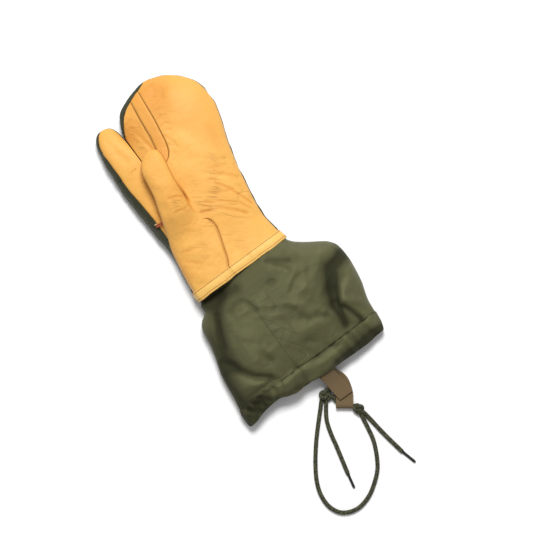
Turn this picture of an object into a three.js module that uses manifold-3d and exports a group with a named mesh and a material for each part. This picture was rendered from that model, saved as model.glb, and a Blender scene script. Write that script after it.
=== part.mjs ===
// Trigger finger mitten shell: a leather palm and a cloth back, with one stall for the index finger, one
// for the other three and one for the thumb, and a wide cloth gauntlet with a corded hem. Millimetres. +Y
// runs along the forearm to the fingertips, +Z is up. The palm faces up and the back of the hand lies on z
// = 0. The origin is on the underside, under the middle of the wrist.

import * as THREE from 'three';
import { mergeVertices } from 'three/addons/utils/BufferGeometryUtils.js';
import Module from 'manifold-3d';

// Driving dimensions
const HAND_LENGTH = 225; // wrist line to the tip of the three-finger stall
const HAND_HEIGHT = 32; // crest of the palm above the ground
const STALL_WIDTH = 103; // three-finger stall, from the slit to its outer side
const FINGER_LENGTH = 209; // wrist line to the tip of the index stall
const FINGER_WIDTH = 37; // index stall, from the slit to its outer side
const FINGER_HEIGHT = 25;
const SLIT_X = -20; // line between the index stall and the three-finger stall
const SLIT_GAP = 1;
const THUMB_LENGTH = 161; // wrist line to the tip of the thumb
const THUMB_WIDTH = 31;
const THUMB_DEPTH = 17;
const THUMB_X = 5; // middle of the thumb, right of the slit
const SEAM_HEIGHT = 10; // side seams between palm and back
const LEATHER = 1.5; // wall of the hand, leather and lined cloth alike
const CLOTH = 1.2; // wall of the gauntlet
const GAP = 0.3; // between neighbouring pieces
const WRIST_HEM_WIDTH = 11.7; // turned lower edge of the leather
const WRIST_HEM_THICK = 1.2;
const WRIST_HEM_EDGE = 5.5; // its lower edge, below the wrist line
const WELT_WIDTH = 12; // strip along the J seam
const STRAP_WIDTH = 16; // webbing across the back of the wrist
const STRAP_THICK = 1.4;
const CUFF_LENGTH = 150; // wrist line to the open hem of the gauntlet
const CUFF_WIDTH = 198;
const CUFF_HEIGHT = 38;
const CASING_WIDTH = 22.5; // drawcord casing along the hem
const CASING_EXTRA = 1.2; // added to the cloth by the turned casing
const CUFF_TUCK = 8; // how far the gauntlet reaches up inside the leather
const FACING_WIDTH = 22; // sewn rectangle on the palm face of the gauntlet
const FACING_LENGTH = 92;
const FACING_THICK = 0.8;
const FACING_RIGHT = 5; // its right side
const FACING_RISE = 1.5; // its lower end above the casing
const LOOP_WIDTH = 17.5; // webbing loop at the hem
const LOOP_REACH = 34;
const LOOP_THICK = 1.2;
const LOOP_TUCK = 11; // how far the loop reaches up inside the hem
const LOOP_LEFT = -4; // its left edge where it leaves the hem
const LOOP_LEAN = 0.09; // how far it leans to the right for each millimetre down
const CORD = 4.8; // diameter of the braided cord
const CORD_TIP = 3; // its sealed thin ends

// Sections of the palm and three-finger stall. at: share of HAND_LENGTH. inner and outer: shares of
// STALL_WIDTH right of the slit. crest: share of HAND_HEIGHT. lift: underside, share of SEAM_HEIGHT.
const HAND_ROWS = [
  { at: -0.0244, inner: -0.388, outer: 0.752, crest: 0.97, lift: 0 },
  { at: 0.03, inner: -0.384, outer: 0.735, crest: 0.95, lift: 0 },
  { at: 0.075, inner: -0.372, outer: 0.72, crest: 0.95, lift: 0 },
  { at: 0.133, inner: -0.34, outer: 0.709, crest: 0.97, lift: 0 },
  { at: 0.222, inner: -0.27, outer: 0.728, crest: 1.0, lift: 0 },
  { at: 0.3, inner: -0.2, outer: 0.755, crest: 1.0, lift: 0 },
  { at: 0.378, inner: -0.14, outer: 0.785, crest: 0.99, lift: 0 },
  { at: 0.455, inner: -0.09, outer: 0.825, crest: 0.975, lift: 0 },
  { at: 0.533, inner: -0.05, outer: 0.874, crest: 0.96, lift: 0 },
  { at: 0.61, inner: -0.015, outer: 0.935, crest: 0.94, lift: 0 },
  { at: 0.665, inner: 0, outer: 0.975, crest: 0.92, lift: 0 },
  { at: 0.725, inner: 0, outer: 1.003, crest: 0.9, lift: 0 },
  { at: 0.785, inner: 0, outer: 1.001, crest: 0.87, lift: 0 },
  { at: 0.836, inner: 0.006, outer: 0.983, crest: 0.82, lift: 0 },
  { at: 0.875, inner: 0.032, outer: 0.942, crest: 0.76, lift: 0 },
  { at: 0.908, inner: 0.064, outer: 0.888, crest: 0.69, lift: 0 },
  { at: 0.938, inner: 0.112, outer: 0.823, crest: 0.61, lift: 0.04 },
  { at: 0.961, inner: 0.19, outer: 0.757, crest: 0.53, lift: 0.12 },
  { at: 0.98, inner: 0.3, outer: 0.67, crest: 0.46, lift: 0.28 },
  { at: 0.992, inner: 0.39, outer: 0.59, crest: 0.4, lift: 0.5 },
  { at: 1.0, inner: 0.47, outer: 0.53, crest: 0.36, lift: 0.75 },
];

// Sections of the index stall. at: share of FINGER_LENGTH. outer and inner: shares of FINGER_WIDTH left of
// the slit, below nought where the stall runs into the palm. crest: share of FINGER_HEIGHT.
const FINGER_ROWS = [
  { at: -0.0263, outer: 1.09, inner: -0.6, crest: 1.15, lift: 0 },
  { at: 0.06, outer: 1.062, inner: -0.55, crest: 1.15, lift: 0 },
  { at: 0.144, outer: 1.01, inner: -0.5, crest: 1.17, lift: 0 },
  { at: 0.225, outer: 0.935, inner: -0.4, crest: 1.16, lift: 0 },
  { at: 0.287, outer: 0.92, inner: -0.32, crest: 1.13, lift: 0 },
  { at: 0.383, outer: 0.96, inner: -0.22, crest: 1.08, lift: 0 },
  { at: 0.478, outer: 0.98, inner: -0.135, crest: 1.04, lift: 0 },
  { at: 0.574, outer: 1.0, inner: -0.06, crest: 1.01, lift: 0 },
  { at: 0.65, outer: 1.0, inner: -0.015, crest: 1.0, lift: 0 },
  { at: 0.71, outer: 0.985, inner: 0, crest: 1.0, lift: 0 },
  { at: 0.78, outer: 0.955, inner: 0, crest: 0.99, lift: 0 },
  { at: 0.861, outer: 0.905, inner: 0.01, crest: 0.95, lift: 0 },
  { at: 0.909, outer: 0.852, inner: 0.03, crest: 0.88, lift: 0 },
  { at: 0.943, outer: 0.8, inner: 0.06, crest: 0.8, lift: 0.03 },
  { at: 0.968, outer: 0.74, inner: 0.11, crest: 0.71, lift: 0.12 },
  { at: 0.985, outer: 0.67, inner: 0.19, crest: 0.62, lift: 0.3 },
  { at: 0.995, outer: 0.58, inner: 0.29, crest: 0.55, lift: 0.5 },
  { at: 1.0, outer: 0.5, inner: 0.38, crest: 0.49, lift: 0.75 },
];

// Sections of the thumb. at: share of THUMB_LENGTH. centre: share of THUMB_WIDTH right of THUMB_X. width:
// share of THUMB_WIDTH. sole: underside, share of HAND_HEIGHT. depth: share of THUMB_DEPTH.
const THUMB_ROWS = [
  { at: 0.19, centre: -0.52, width: 1.2, sole: 0.25, depth: 1.05 },
  { at: 0.28, centre: -0.41, width: 1.45, sole: 0.25, depth: 1.2 },
  { at: 0.373, centre: -0.32, width: 1.6, sole: 0.28, depth: 1.6 },
  { at: 0.447, centre: -0.3, width: 1.39, sole: 0.375, depth: 1.72 },
  { at: 0.528, centre: -0.27, width: 1.19, sole: 0.53, depth: 1.66 },
  { at: 0.59, centre: -0.22, width: 1.11, sole: 0.69, depth: 1.46 },
  { at: 0.646, centre: -0.155, width: 1.05, sole: 0.83, depth: 1.25 },
  { at: 0.714, centre: -0.08, width: 0.97, sole: 0.955, depth: 1.05 },
  { at: 0.795, centre: -0.02, width: 0.974, sole: 0.985, depth: 1.0 },
  { at: 0.87, centre: 0.04, width: 1.016, sole: 0.985, depth: 0.97 },
  { at: 0.92, centre: 0.089, width: 0.952, sole: 0.985, depth: 0.91 },
  { at: 0.951, centre: 0.137, width: 0.835, sole: 0.99, depth: 0.835 },
  { at: 0.976, centre: 0.174, width: 0.639, sole: 1.01, depth: 0.68 },
  { at: 0.992, centre: 0.177, width: 0.387, sole: 1.06, depth: 0.47 },
  { at: 1.0, centre: 0.17, width: 0.17, sole: 1.13, depth: 0.2 },
];

// Sections of the gauntlet. at: share of CUFF_LENGTH below the wrist line. left and right: shares of
// CUFF_WIDTH. crest: share of CUFF_HEIGHT. lift: underside, share of SEAM_HEIGHT. It ends where the casing
// begins.
const CASING_AT = 1 - CASING_WIDTH / CUFF_LENGTH;
const CUFF_ROWS = [
  { at: 0.08, left: 0.318, right: 0.303, crest: 0.85, lift: 0.17 },
  { at: 0.133, left: 0.335, right: 0.352, crest: 0.9, lift: 0.02 },
  { at: 0.187, left: 0.371, right: 0.404, crest: 0.94, lift: 0 },
  { at: 0.24, left: 0.389, right: 0.464, crest: 0.97, lift: 0 },
  { at: 0.3, left: 0.396, right: 0.496, crest: 1.0, lift: 0 },
  { at: 0.36, left: 0.404, right: 0.503, crest: 1.0, lift: 0 },
  { at: 0.427, left: 0.42, right: 0.505, crest: 1.0, lift: 0 },
  { at: 0.493, left: 0.432, right: 0.5, crest: 0.99, lift: 0 },
  { at: 0.56, left: 0.449, right: 0.493, crest: 0.96, lift: 0 },
  { at: 0.627, left: 0.457, right: 0.482, crest: 0.93, lift: 0 },
  { at: 0.693, left: 0.463, right: 0.466, crest: 0.88, lift: 0 },
  { at: 0.753, left: 0.468, right: 0.453, crest: 0.83, lift: 0 },
  { at: 0.807, left: 0.476, right: 0.446, crest: 0.77, lift: 0 },
  { at: CASING_AT, left: 0.482, right: 0.442, crest: 0.72, lift: 0 },
];
const CASING_ROWS = [
  { at: CASING_AT + GAP / CUFF_LENGTH, left: 0.482, right: 0.442, crest: 0.72, lift: 0 },
  { at: 0.89, left: 0.488, right: 0.438, crest: 0.7, lift: 0 },
  { at: 0.945, left: 0.49, right: 0.432, crest: 0.66, lift: 0 },
  { at: 1.0, left: 0.485, right: 0.42, crest: 0.6, lift: 0 },
];

// Folds of the gauntlet's palm face, each along a straight line. x0, x1: shares of CUFF_WIDTH. y0, y1:
// shares of CUFF_LENGTH below the wrist line. spread: share of CUFF_WIDTH. rise: share of CUFF_HEIGHT,
// down if negative.
const CUFF_FOLDS = [
  { x0: -0.25, y0: 0.07, x1: -0.1, y1: 0.11, spread: 0.04, rise: -0.1 },
  { x0: -0.31, y0: 0.15, x1: -0.39, y1: 0.34, spread: 0.035, rise: 0.08 },
  { x0: -0.26, y0: 0.12, x1: -0.4, y1: 0.5, spread: 0.045, rise: -0.16 },
  { x0: -0.4, y0: 0.5, x1: -0.25, y1: 0.78, spread: 0.03, rise: -0.15 },
  { x0: -0.22, y0: 0.3, x1: -0.2, y1: 0.75, spread: 0.07, rise: 0.07 },
  { x0: 0.13, y0: 0.1, x1: 0.22, y1: 0.18, spread: 0.03, rise: -0.1 },
  { x0: -0.18, y0: 0.22, x1: -0.09, y1: 0.3, spread: 0.02, rise: -0.05 },
  { x0: 0.36, y0: 0.36, x1: 0.23, y1: 0.78, spread: 0.04, rise: -0.17 },
  { x0: 0.35, y0: 0.2, x1: 0.41, y1: 0.34, spread: 0.045, rise: 0.09 },
  { x0: 0.44, y0: 0.54, x1: 0.33, y1: 0.66, spread: 0.03, rise: 0.13 },
  { x0: 0.36, y0: 0.68, x1: 0.43, y1: 0.8, spread: 0.03, rise: 0.1 },
  { x0: 0.32, y0: 0.68, x1: 0.36, y1: 0.82, spread: 0.015, rise: -0.1 },
  { x0: 0.05, y0: 0.42, x1: 0.1, y1: 0.62, spread: 0.03, rise: -0.05 },
  { x0: -0.09, y0: 0.86, x1: -0.1, y1: 1.0, spread: 0.015, rise: -0.06 },
  { x0: 0.33, y0: 0.86, x1: 0.35, y1: 1.0, spread: 0.015, rise: -0.08 },
  { x0: 0.17, y0: 0.98, x1: 0.36, y1: 1.0, spread: 0.04, rise: -0.14 },
];

// Creases of the palm leather. x0, x1: shares of STALL_WIDTH right of the slit. y0, y1: shares of
// HAND_LENGTH. spread: share of STALL_WIDTH. rise: share of HAND_HEIGHT.
const PALM_FOLDS = [
  { x0: 0.2, y0: 0.32, x1: 0.6, y1: 0.19, spread: 0.04, rise: -0.05 },
  { x0: 0.53, y0: 0.38, x1: 0.68, y1: 0.21, spread: 0.04, rise: -0.045 },
  { x0: 0.12, y0: 0.86, x1: 0.14, y1: 0.73, spread: 0.03, rise: -0.04 },
  { x0: 0.45, y0: 0.45, x1: 0.7, y1: 0.4, spread: 0.06, rise: 0.03 },
];

// Edge of the leather. Index stall: at is a share of FINGER_LENGTH and out a share of FINGER_WIDTH left of
// the slit. Tip of the three-finger stall: a share of HAND_LENGTH and a share of STALL_WIDTH right of it.
const FINGER_LEATHER = [
  { at: 0.285, out: 0.95 },
  { at: 0.306, out: 0.77 },
  { at: 0.335, out: 0.72 },
  { at: 0.43, out: 0.73 },
  { at: 0.574, out: 0.77 },
  { at: 0.67, out: 0.81 },
  { at: 0.861, out: 0.805 },
  { at: 0.92, out: 0.78 },
  { at: 0.965, out: 0.7 },
  { at: 0.99, out: 0.58 },
  { at: 1.01, out: 0.44 },
];
const TIP_LEATHER = [
  { at: 0.845, out: 0.0 },
  { at: 0.885, out: 0.055 },
  { at: 0.915, out: 0.1 },
  { at: 0.938, out: 0.16 },
  { at: 0.957, out: 0.24 },
  { at: 0.976, out: 0.34 },
  { at: 0.99, out: 0.44 },
  { at: 1.01, out: 0.53 },
];

// J seam: the outer line of the welt. at: share of HAND_LENGTH. out: share of STALL_WIDTH right of the
// slit.
const WELT_LINE = [
  { at: 1.02, out: 0.415 },
  { at: 0.889, out: 0.388 },
  { at: 0.822, out: 0.374 },
  { at: 0.756, out: 0.35 },
  { at: 0.7, out: 0.33 },
  { at: 0.662, out: 0.305 },
  { at: 0.632, out: 0.262 },
  { at: 0.616, out: 0.214 },
  { at: 0.61, out: 0.14 },
  { at: 0.617, out: 0.08 },
  { at: 0.64, out: 0.02 },
];

// Heel seam, from the wrist to the base of the thumb. Shares as in the line above.
const HEEL_LINE = [
  { at: -0.09, out: 0.055 },
  { at: 0.0, out: 0.065 },
  { at: 0.067, out: 0.126 },
  { at: 0.124, out: 0.165 },
  { at: 0.178, out: 0.204 },
  { at: 0.231, out: 0.233 },
  { at: 0.262, out: 0.228 },
  { at: 0.285, out: 0.18 },
];

// Cord points, along the ground. The loop joins the knots, and each tail leaves one of them.
const GROUND = CORD / 2 + 0.05;
const KNOT_LEFT = [-10, -170, 4.9];
const KNOT_RIGHT = [9.8, -203.5, 4.9];
const BRIDGE_ROUTE = [
  [-10, -170, 4.2], [-4, -172.4, 4.2], [4, -175.6, 4.3], [10.5, -177.2, 4.3], [16.5, -178.4, 4.1],
  [20.7, -182.2, 3.6], [22, -187.2, 3], [20.7, -192.2, 2.7], [17.2, -196.6, 2.7], [9.8, -203.5, 3.4],
];
const LOOP_ROUTE = [
  [-10, -170, 3.4], [-17.2, -172.6, 2.6], [-24.4, -179.6, GROUND], [-35.5, -190.8, GROUND],
  [-49.2, -205.5, GROUND], [-64.9, -225.4, GROUND], [-74.8, -241.6, GROUND], [-79.6, -255.5, GROUND],
  [-79.9, -270.8, GROUND], [-74.5, -282.7, GROUND], [-66.4, -288.7, GROUND], [-54.3, -291.4, GROUND],
  [-39.4, -288.3, GROUND], [-26.1, -280.8, GROUND], [-13.2, -269.9, GROUND], [-4.7, -257.3, GROUND],
  [2.7, -240.9, GROUND], [5.8, -226.3, GROUND], [4.6, -212.6, 2.7], [9.8, -203.5, 3.4],
];
const TAIL_LEFT_ROUTE = [
  [-10, -170, 3.6], [-10.4, -178.6, 2.6], [-17, -185.6, GROUND], [-23.4, -191.6, GROUND],
  [-28.8, -200.5, GROUND], [-32.6, -210.5, GROUND], [-36, -223, GROUND], [-39, -238.3, GROUND],
  [-41.8, -254, GROUND],
];
const TAIL_RIGHT_ROUTE = [
  [9.8, -203.5, 3.6], [14.3, -211, 2.6], [14.2, -221.7, GROUND], [15.3, -235.9, GROUND],
  [17.3, -250, GROUND], [19.3, -262.3, GROUND], [20.6, -270, GROUND],
];
const TIP_LEFT_ROUTE = [[-41.9, -254.5, 1.6], [-43.6, -262, 1.55], [-45.6, -271.5, 1.55]];
const TIP_RIGHT_ROUTE = [[20.7, -270.5, 1.6], [22.9, -279, 1.55], [25.4, -288.5, 1.55]];

const wasm = await Module();
wasm.setup();

// Materials
const leather = new THREE.MeshStandardMaterial({ color: 0xf3bc66, roughness: 0.6, metalness: 0 });
const olive = new THREE.MeshStandardMaterial({ color: 0x4a4b32, roughness: 0.85, metalness: 0 });
const webbing = new THREE.MeshStandardMaterial({ color: 0x87704f, roughness: 0.9, metalness: 0 });
const braid = new THREE.MeshStandardMaterial({ color: 0x4d4d3a, roughness: 0.9, metalness: 0 });
const sealed = new THREE.MeshStandardMaterial({ color: 0x24241c, roughness: 0.6, metalness: 0 });

// A closed solid from points and triangles, turned right side out if it was inside out.
function solidFrom(points, triangles) {
  let volume = 0;
  for (const [a, b, c] of triangles) {
    const [p, q, r] = [points[a], points[b], points[c]];
    volume += p[0] * (q[1] * r[2] - q[2] * r[1]) + p[1] * (q[2] * r[0] - q[0] * r[2])
      + p[2] * (q[0] * r[1] - q[1] * r[0]);
  }
  const faces = volume < 0 ? triangles.map(([a, b, c]) => [a, c, b]) : triangles;
  return new wasm.Manifold(new wasm.Mesh({
    numProp: 3,
    vertProperties: new Float32Array(points.flat()),
    triVerts: new Uint32Array(faces.flat()),
  }));
}

function solidFromGeometry(geometry) {
  const bare = geometry.clone();
  bare.deleteAttribute('normal');
  bare.deleteAttribute('uv');
  const merged = mergeVertices(bare, 1e-4);
  const points = [];
  for (let i = 0; i < merged.attributes.position.count; i += 1) {
    points.push(new THREE.Vector3().fromBufferAttribute(merged.attributes.position, i).toArray());
  }
  const triangles = [];
  for (let i = 0; i < merged.index.count; i += 3) {
    triangles.push([merged.index.getX(i), merged.index.getX(i + 1), merged.index.getX(i + 2)]);
  }
  return solidFrom(points, triangles.filter(([a, b, c]) => a !== b && b !== c && c !== a));
}

// Triangles between two rings of n points that start at indices a and b.
function band(a, b, n) {
  const faces = [];
  for (let k = 0; k < n; k += 1) {
    const next = (k + 1) % n;
    faces.push([a + k, a + next, b + k], [a + next, b + next, b + k]);
  }
  return faces;
}

// A solid lofted through rings, closed at both ends.
function loft(rings) {
  const n = rings[0].length;
  const points = rings.flat();
  const faces = [];
  for (let row = 0; row + 1 < rings.length; row += 1) faces.push(...band(row * n, (row + 1) * n, n));
  const last = (rings.length - 1) * n;
  for (const [ring, start, turn] of [[rings[0], 0, true], [rings.at(-1), last, false]]) {
    const middle = points.length;
    points.push([0, 1, 2].map((axis) => ring.reduce((sum, p) => sum + p[axis], 0) / n));
    for (let k = 0; k < n; k += 1) {
      const next = start + ((k + 1) % n);
      faces.push(turn ? [middle, next, start + k] : [middle, start + k, next]);
    }
  }
  return solidFrom(points, faces);
}

// A hollow sleeve, open at both ends, between an outer and an inner row of rings.
function sleeve(outer, inner) {
  const n = outer[0].length;
  const loop = [...outer, ...inner.slice().reverse()];
  const faces = [];
  for (let row = 0; row < loop.length; row += 1) {
    const next = (row + 1) % loop.length;
    faces.push(...band(row * n, next * n, n));
  }
  return solidFrom(loop.flat(), faces);
}

// One section across the piece: rounded above the seam height, flattened below it, inset by the offset.
function section(y, left, right, sole, crest, offset, counts, relief) {
  const waist = Math.min(Math.max(SEAM_HEIGHT, sole + offset + 0.5), crest - offset - 0.5);
  const middle = (left + right) / 2;
  const half = (right - left) / 2 - offset;
  const ring = [];
  const curve = (angle, power) => Math.sign(angle) * Math.abs(angle) ** (2 / power);
  for (let k = 0; k < counts.top; k += 1) {
    const angle = Math.PI * (1 - k / counts.top);
    const x = middle + half * curve(Math.cos(angle), counts.topPower);
    const rise = (crest - offset - waist) * curve(Math.sin(angle), counts.topPower);
    ring.push([x, y, waist + rise + (relief ? relief(x, y) * curve(Math.sin(angle), 1) : 0)]);
  }
  for (let k = 0; k < counts.base; k += 1) {
    const angle = -Math.PI * (k / counts.base);
    const x = middle + half * curve(Math.cos(angle), counts.basePower);
    const drop = Math.min(1, 1.02 * Math.abs(curve(Math.sin(angle), counts.basePower)));
    ring.push([x, y, waist - (waist - sole - offset) * drop]);
  }
  return ring;
}

// Height of the folds at a point: each is a soft ridge or valley along its line.
function foldHeight(folds, x, y) {
  let height = 0;
  for (const fold of folds) {
    const along = [fold.x1 - fold.x0, fold.y1 - fold.y0];
    const share = ((x - fold.x0) * along[0] + (y - fold.y0) * along[1]) / (along[0] ** 2 + along[1] ** 2);
    const t = Math.min(Math.max(share, 0), 1);
    const distance = Math.hypot(x - fold.x0 - t * along[0], y - fold.y0 - t * along[1]);
    height += fold.rise * Math.exp(-((distance / fold.spread) ** 2));
  }
  return height;
}

function scaleFolds(rows, xOf, yOf, spreadOf, riseOf) {
  return rows.map((row) => ({
    x0: xOf(row.x0), y0: yOf(row.y0), x1: xOf(row.x1), y1: yOf(row.y1),
    spread: spreadOf * row.spread, rise: riseOf * row.rise,
  }));
}

const fromSlit = (share) => SLIT_X + share * STALL_WIDTH;
const fromWrist = (share) => -share * CUFF_LENGTH;
const cuffFolds = scaleFolds(CUFF_FOLDS, (s) => s * CUFF_WIDTH, fromWrist, CUFF_WIDTH, CUFF_HEIGHT);
const palmFolds = scaleFolds(PALM_FOLDS, fromSlit, (s) => s * HAND_LENGTH, STALL_WIDTH, HAND_HEIGHT);
const cuffRelief = (x, y) => foldHeight(cuffFolds, x, y);
const palmRelief = (x, y) => foldHeight(palmFolds, x, y);

// The underside rises over the wrist strap and comes down to the ground above it.
const STRAP_LIFT = STRAP_THICK + 2 * GAP;
const STRAP_TOP = STRAP_WIDTH - WRIST_HEM_EDGE + 0.5;
function strapLift(y) {
  const fade = 1 - Math.min(Math.max((y - STRAP_TOP) / STRAP_WIDTH - 0.4, 0), 1);
  return STRAP_LIFT * fade;
}

const handCounts = { top: 20, base: 12, topPower: 2.5, basePower: 5 };
const fingerCounts = { top: 13, base: 9, topPower: 2.4, basePower: 4 };
const thumbCounts = { top: 12, base: 8, topPower: 2.4, basePower: 3 };
const cuffCounts = { top: 26, base: 10, topPower: 2.7, basePower: 6 };

// A row is inset near its tip along the length too, so that the wall keeps its thickness there.
const tipInset = (share, offset) => offset * Math.max(share, 0) ** 6;

function handRing(row, offset) {
  const y = row.at * HAND_LENGTH - tipInset(row.at, offset);
  const sole = Math.max(row.lift * SEAM_HEIGHT, strapLift(y));
  const [left, right] = [fromSlit(row.inner) + SLIT_GAP / 2, fromSlit(row.outer)];
  return section(y, left, right, sole, row.crest * HAND_HEIGHT, offset, handCounts, palmRelief);
}

function fingerRing(row, offset) {
  const y = row.at * FINGER_LENGTH - tipInset(row.at, offset);
  const sole = Math.max(row.lift * SEAM_HEIGHT, strapLift(y));
  const left = SLIT_X - row.outer * FINGER_WIDTH;
  const right = SLIT_X - SLIT_GAP / 2 - row.inner * FINGER_WIDTH;
  return section(y, left, right, sole, row.crest * FINGER_HEIGHT, offset, fingerCounts, null);
}

function thumbRing(row, offset) {
  const y = row.at * THUMB_LENGTH - tipInset(row.at, offset);
  const middle = SLIT_X + THUMB_X + row.centre * THUMB_WIDTH;
  const half = (row.width * THUMB_WIDTH) / 2 - offset;
  const sole = row.sole * HAND_HEIGHT + offset;
  const crest = row.sole * HAND_HEIGHT + row.depth * THUMB_DEPTH - offset;
  const waist = (sole + crest) / 2;
  const ring = [];
  for (let k = 0; k < thumbCounts.top + thumbCounts.base; k += 1) {
    const above = k < thumbCounts.top;
    const share = above ? 1 - k / thumbCounts.top : (thumbCounts.top - k) / thumbCounts.base;
    const angle = Math.PI * share;
    const power = above ? thumbCounts.topPower : thumbCounts.basePower;
    const x = middle + half * Math.sign(Math.cos(angle)) * Math.abs(Math.cos(angle)) ** (2 / power);
    const rise = Math.sign(Math.sin(angle)) * Math.abs(Math.sin(angle)) ** (2 / power);
    ring.push([x, y, waist + ((crest - sole) / 2) * rise]);
  }
  return ring;
}

function cuffRing(row, offset) {
  const y = -row.at * CUFF_LENGTH;
  const [left, right] = [-row.left * CUFF_WIDTH, row.right * CUFF_WIDTH];
  const crest = row.crest * CUFF_HEIGHT;
  return section(y, left, right, row.lift * SEAM_HEIGHT, crest, offset, cuffCounts, cuffRelief);
}

// The gauntlet's top end follows the inside of the hand, from the tuck to the lower edge of the leather.
function tuckRing(y, offset) {
  const clear = LEATHER + 2 * GAP;
  const [left, right] = [fromSlit(HAND_ROWS[1].inner) + SLIT_GAP / 2, fromSlit(HAND_ROWS[1].outer)];
  const counts = { ...cuffCounts, topPower: handCounts.topPower, basePower: handCounts.basePower };
  return section(y, left, right, STRAP_LIFT, HAND_ROWS[1].crest * HAND_HEIGHT, clear + offset, counts, null);
}

const wideEnough = (ring) => {
  const xs = ring.map((p) => p[0]);
  return Math.max(...xs) - Math.min(...xs) > 3 * LEATHER;
};
const outerOf = (rows, ringOf, grow = 0) => loft(rows.map((row) => ringOf(row, -grow)));
function innerOf(rows, ringOf) {
  const rings = rows.slice(0, -1).map((row) => ringOf(row, LEATHER)).filter(wideEnough);
  const open = rings[0].map(([x, y, z]) => [x, y - 2 * WRIST_HEM_WIDTH, z]);
  return loft([open, ...rings]);
}

// A standing prism over an outline, from one height to another.
function prism(outline, low, high) {
  const shape = new THREE.Shape(outline.map(([x, y]) => new THREE.Vector2(x, y)));
  const geometry = new THREE.ExtrudeGeometry(shape, { depth: high - low, bevelEnabled: false });
  geometry.translate(0, 0, low);
  return solidFromGeometry(geometry);
}

// The outline moved outwards by a distance, with mitred corners.
function grow(outline, distance) {
  const n = outline.length;
  let area = 0;
  for (let k = 0; k < n; k += 1) {
    const [a, b] = [outline[k], outline[(k + 1) % n]];
    area += a[0] * b[1] - b[0] * a[1];
  }
  const turn = Math.sign(area);
  return outline.map((point, k) => {
    const normals = [outline[(k + n - 1) % n], outline[(k + 1) % n]].map((other, side) => {
      const edge = new THREE.Vector2(other[0] - point[0], other[1] - point[1]).normalize();
      if (side === 0) edge.negate();
      return new THREE.Vector2(edge.y * turn, -edge.x * turn);
    });
    const mitre = normals[0].clone().add(normals[1]).normalize();
    const reach = distance / Math.max(mitre.dot(normals[0]), 0.5);
    return [point[0] + mitre.x * reach, point[1] + mitre.y * reach];
  });
}

const FAR = 2 * CUFF_WIDTH;
const line = (rows) => rows.map((row) => [fromSlit(row.out), row.at * HAND_LENGTH]);
const fingerEdge = FINGER_LEATHER.map((row) => [SLIT_X - row.out * FINGER_WIDTH, row.at * FINGER_LENGTH]);

// Plan of the leather: it stops short of the index stall's outer side and of the tip's inner side.
const leatherPlan = [
  [-FAR, -FAR], [-FAR, fingerEdge[0][1] - 4], ...fingerEdge, [SLIT_X, FINGER_LENGTH + 8],
  ...line(TIP_LEATHER), [SLIT_X + STALL_WIDTH / 2, FAR], [FAR, FAR], [FAR, -FAR],
];

// Plan inside the J seam's outer line, and inside its inner line.
const weltLine = line(WELT_LINE);
const crotch = weltLine.at(-1)[1];
const insideWelt = [[SLIT_X - WELT_WIDTH, FAR], ...weltLine, [SLIT_X - WELT_WIDTH, crotch + 3]];
const innerLine = grow([[weltLine[0][0], FAR], ...weltLine, [SLIT_X - WELT_WIDTH, FAR]], -WELT_WIDTH);
const insidePanel = [
  [SLIT_X - WELT_WIDTH, FAR], ...innerLine.slice(1, 6), ...innerLine.slice(9, 11),
  [SLIT_X - WELT_WIDTH, crotch + WELT_WIDTH],
];

// Plan of the heel tongue, left of the heel seam.
const heelPlan = [
  ...line(HEEL_LINE), [SLIT_X, HEEL_LINE.at(-1).at * HAND_LENGTH + 2],
  [fingerEdge[1][0], fingerEdge[1][1] + 3], [fingerEdge[0][0], fingerEdge[0][1] - 2], [-FAR, fingerEdge[0][1] - 4], [-FAR, -FAR],
  [line(HEEL_LINE)[0][0], -FAR],
];

// The hand: palm, index stall and three-finger stall as one hollow form, with the turned hem added on top.
const top = HAND_HEIGHT * 3;
const leatherSide = (extra) => prism(grow(leatherPlan, extra), SEAM_HEIGHT + GAP / 2 - extra, top);
const hemTop = WRIST_HEM_WIDTH - WRIST_HEM_EDGE;
const hemRows = [HAND_ROWS[0], { ...HAND_ROWS[0], at: hemTop / HAND_LENGTH, outer: HAND_ROWS[1].outer }];
const wristHem = loft(hemRows.map((row) => handRing(row, -WRIST_HEM_THICK))).intersect(leatherSide(0));
const handInside = innerOf(HAND_ROWS, handRing).add(innerOf(FINGER_ROWS, fingerRing));
const handWall = outerOf(HAND_ROWS, handRing).add(outerOf(FINGER_ROWS, fingerRing)).add(wristHem)
  .subtract(handInside);
const leatherWall = handWall.intersect(leatherSide(0));
const backCloth = handWall.subtract(leatherSide(GAP));

// The thumb takes the heel tongue with it, and opens into the hand.
const thumbOuter = outerOf(THUMB_ROWS, thumbRing);
const thumbRoom = outerOf(THUMB_ROWS, thumbRing, GAP);
const thumbInside = loft(THUMB_ROWS.slice(0, -1).map((row) => thumbRing(row, LEATHER)));
const heelPrism = prism(heelPlan, 0, top);
const heelRoom = prism(grow(heelPlan, GAP), -1, top + 1);
const thumb = thumbOuter.add(leatherWall.intersect(heelPrism)).subtract(handInside).subtract(thumbInside);

// The rest of the leather is cut along the J seam.
const palmWall = leatherWall.subtract(heelRoom).subtract(thumbRoom);
const panelPrism = prism(insidePanel, 0, top);
const panelRoom = prism(grow(insidePanel, GAP), -1, top + 1);
const weltPrism = prism(insideWelt, 0, top);
const weltRoom = prism(grow(insideWelt, GAP), -1, top + 1);
const rightOf = (x) => prism([[x, 0], [x, FAR], [FAR, FAR], [FAR, 0]], -1, top + 1);
const rightOfSlit = rightOf(SLIT_X);
const fingerPanel = palmWall.intersect(panelPrism).intersect(rightOfSlit);
const palmWelt = palmWall.intersect(weltPrism).intersect(rightOfSlit).subtract(panelRoom);
const palmLeather = palmWall.subtract(weltRoom.intersect(rightOf(SLIT_X - GAP)));

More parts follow.
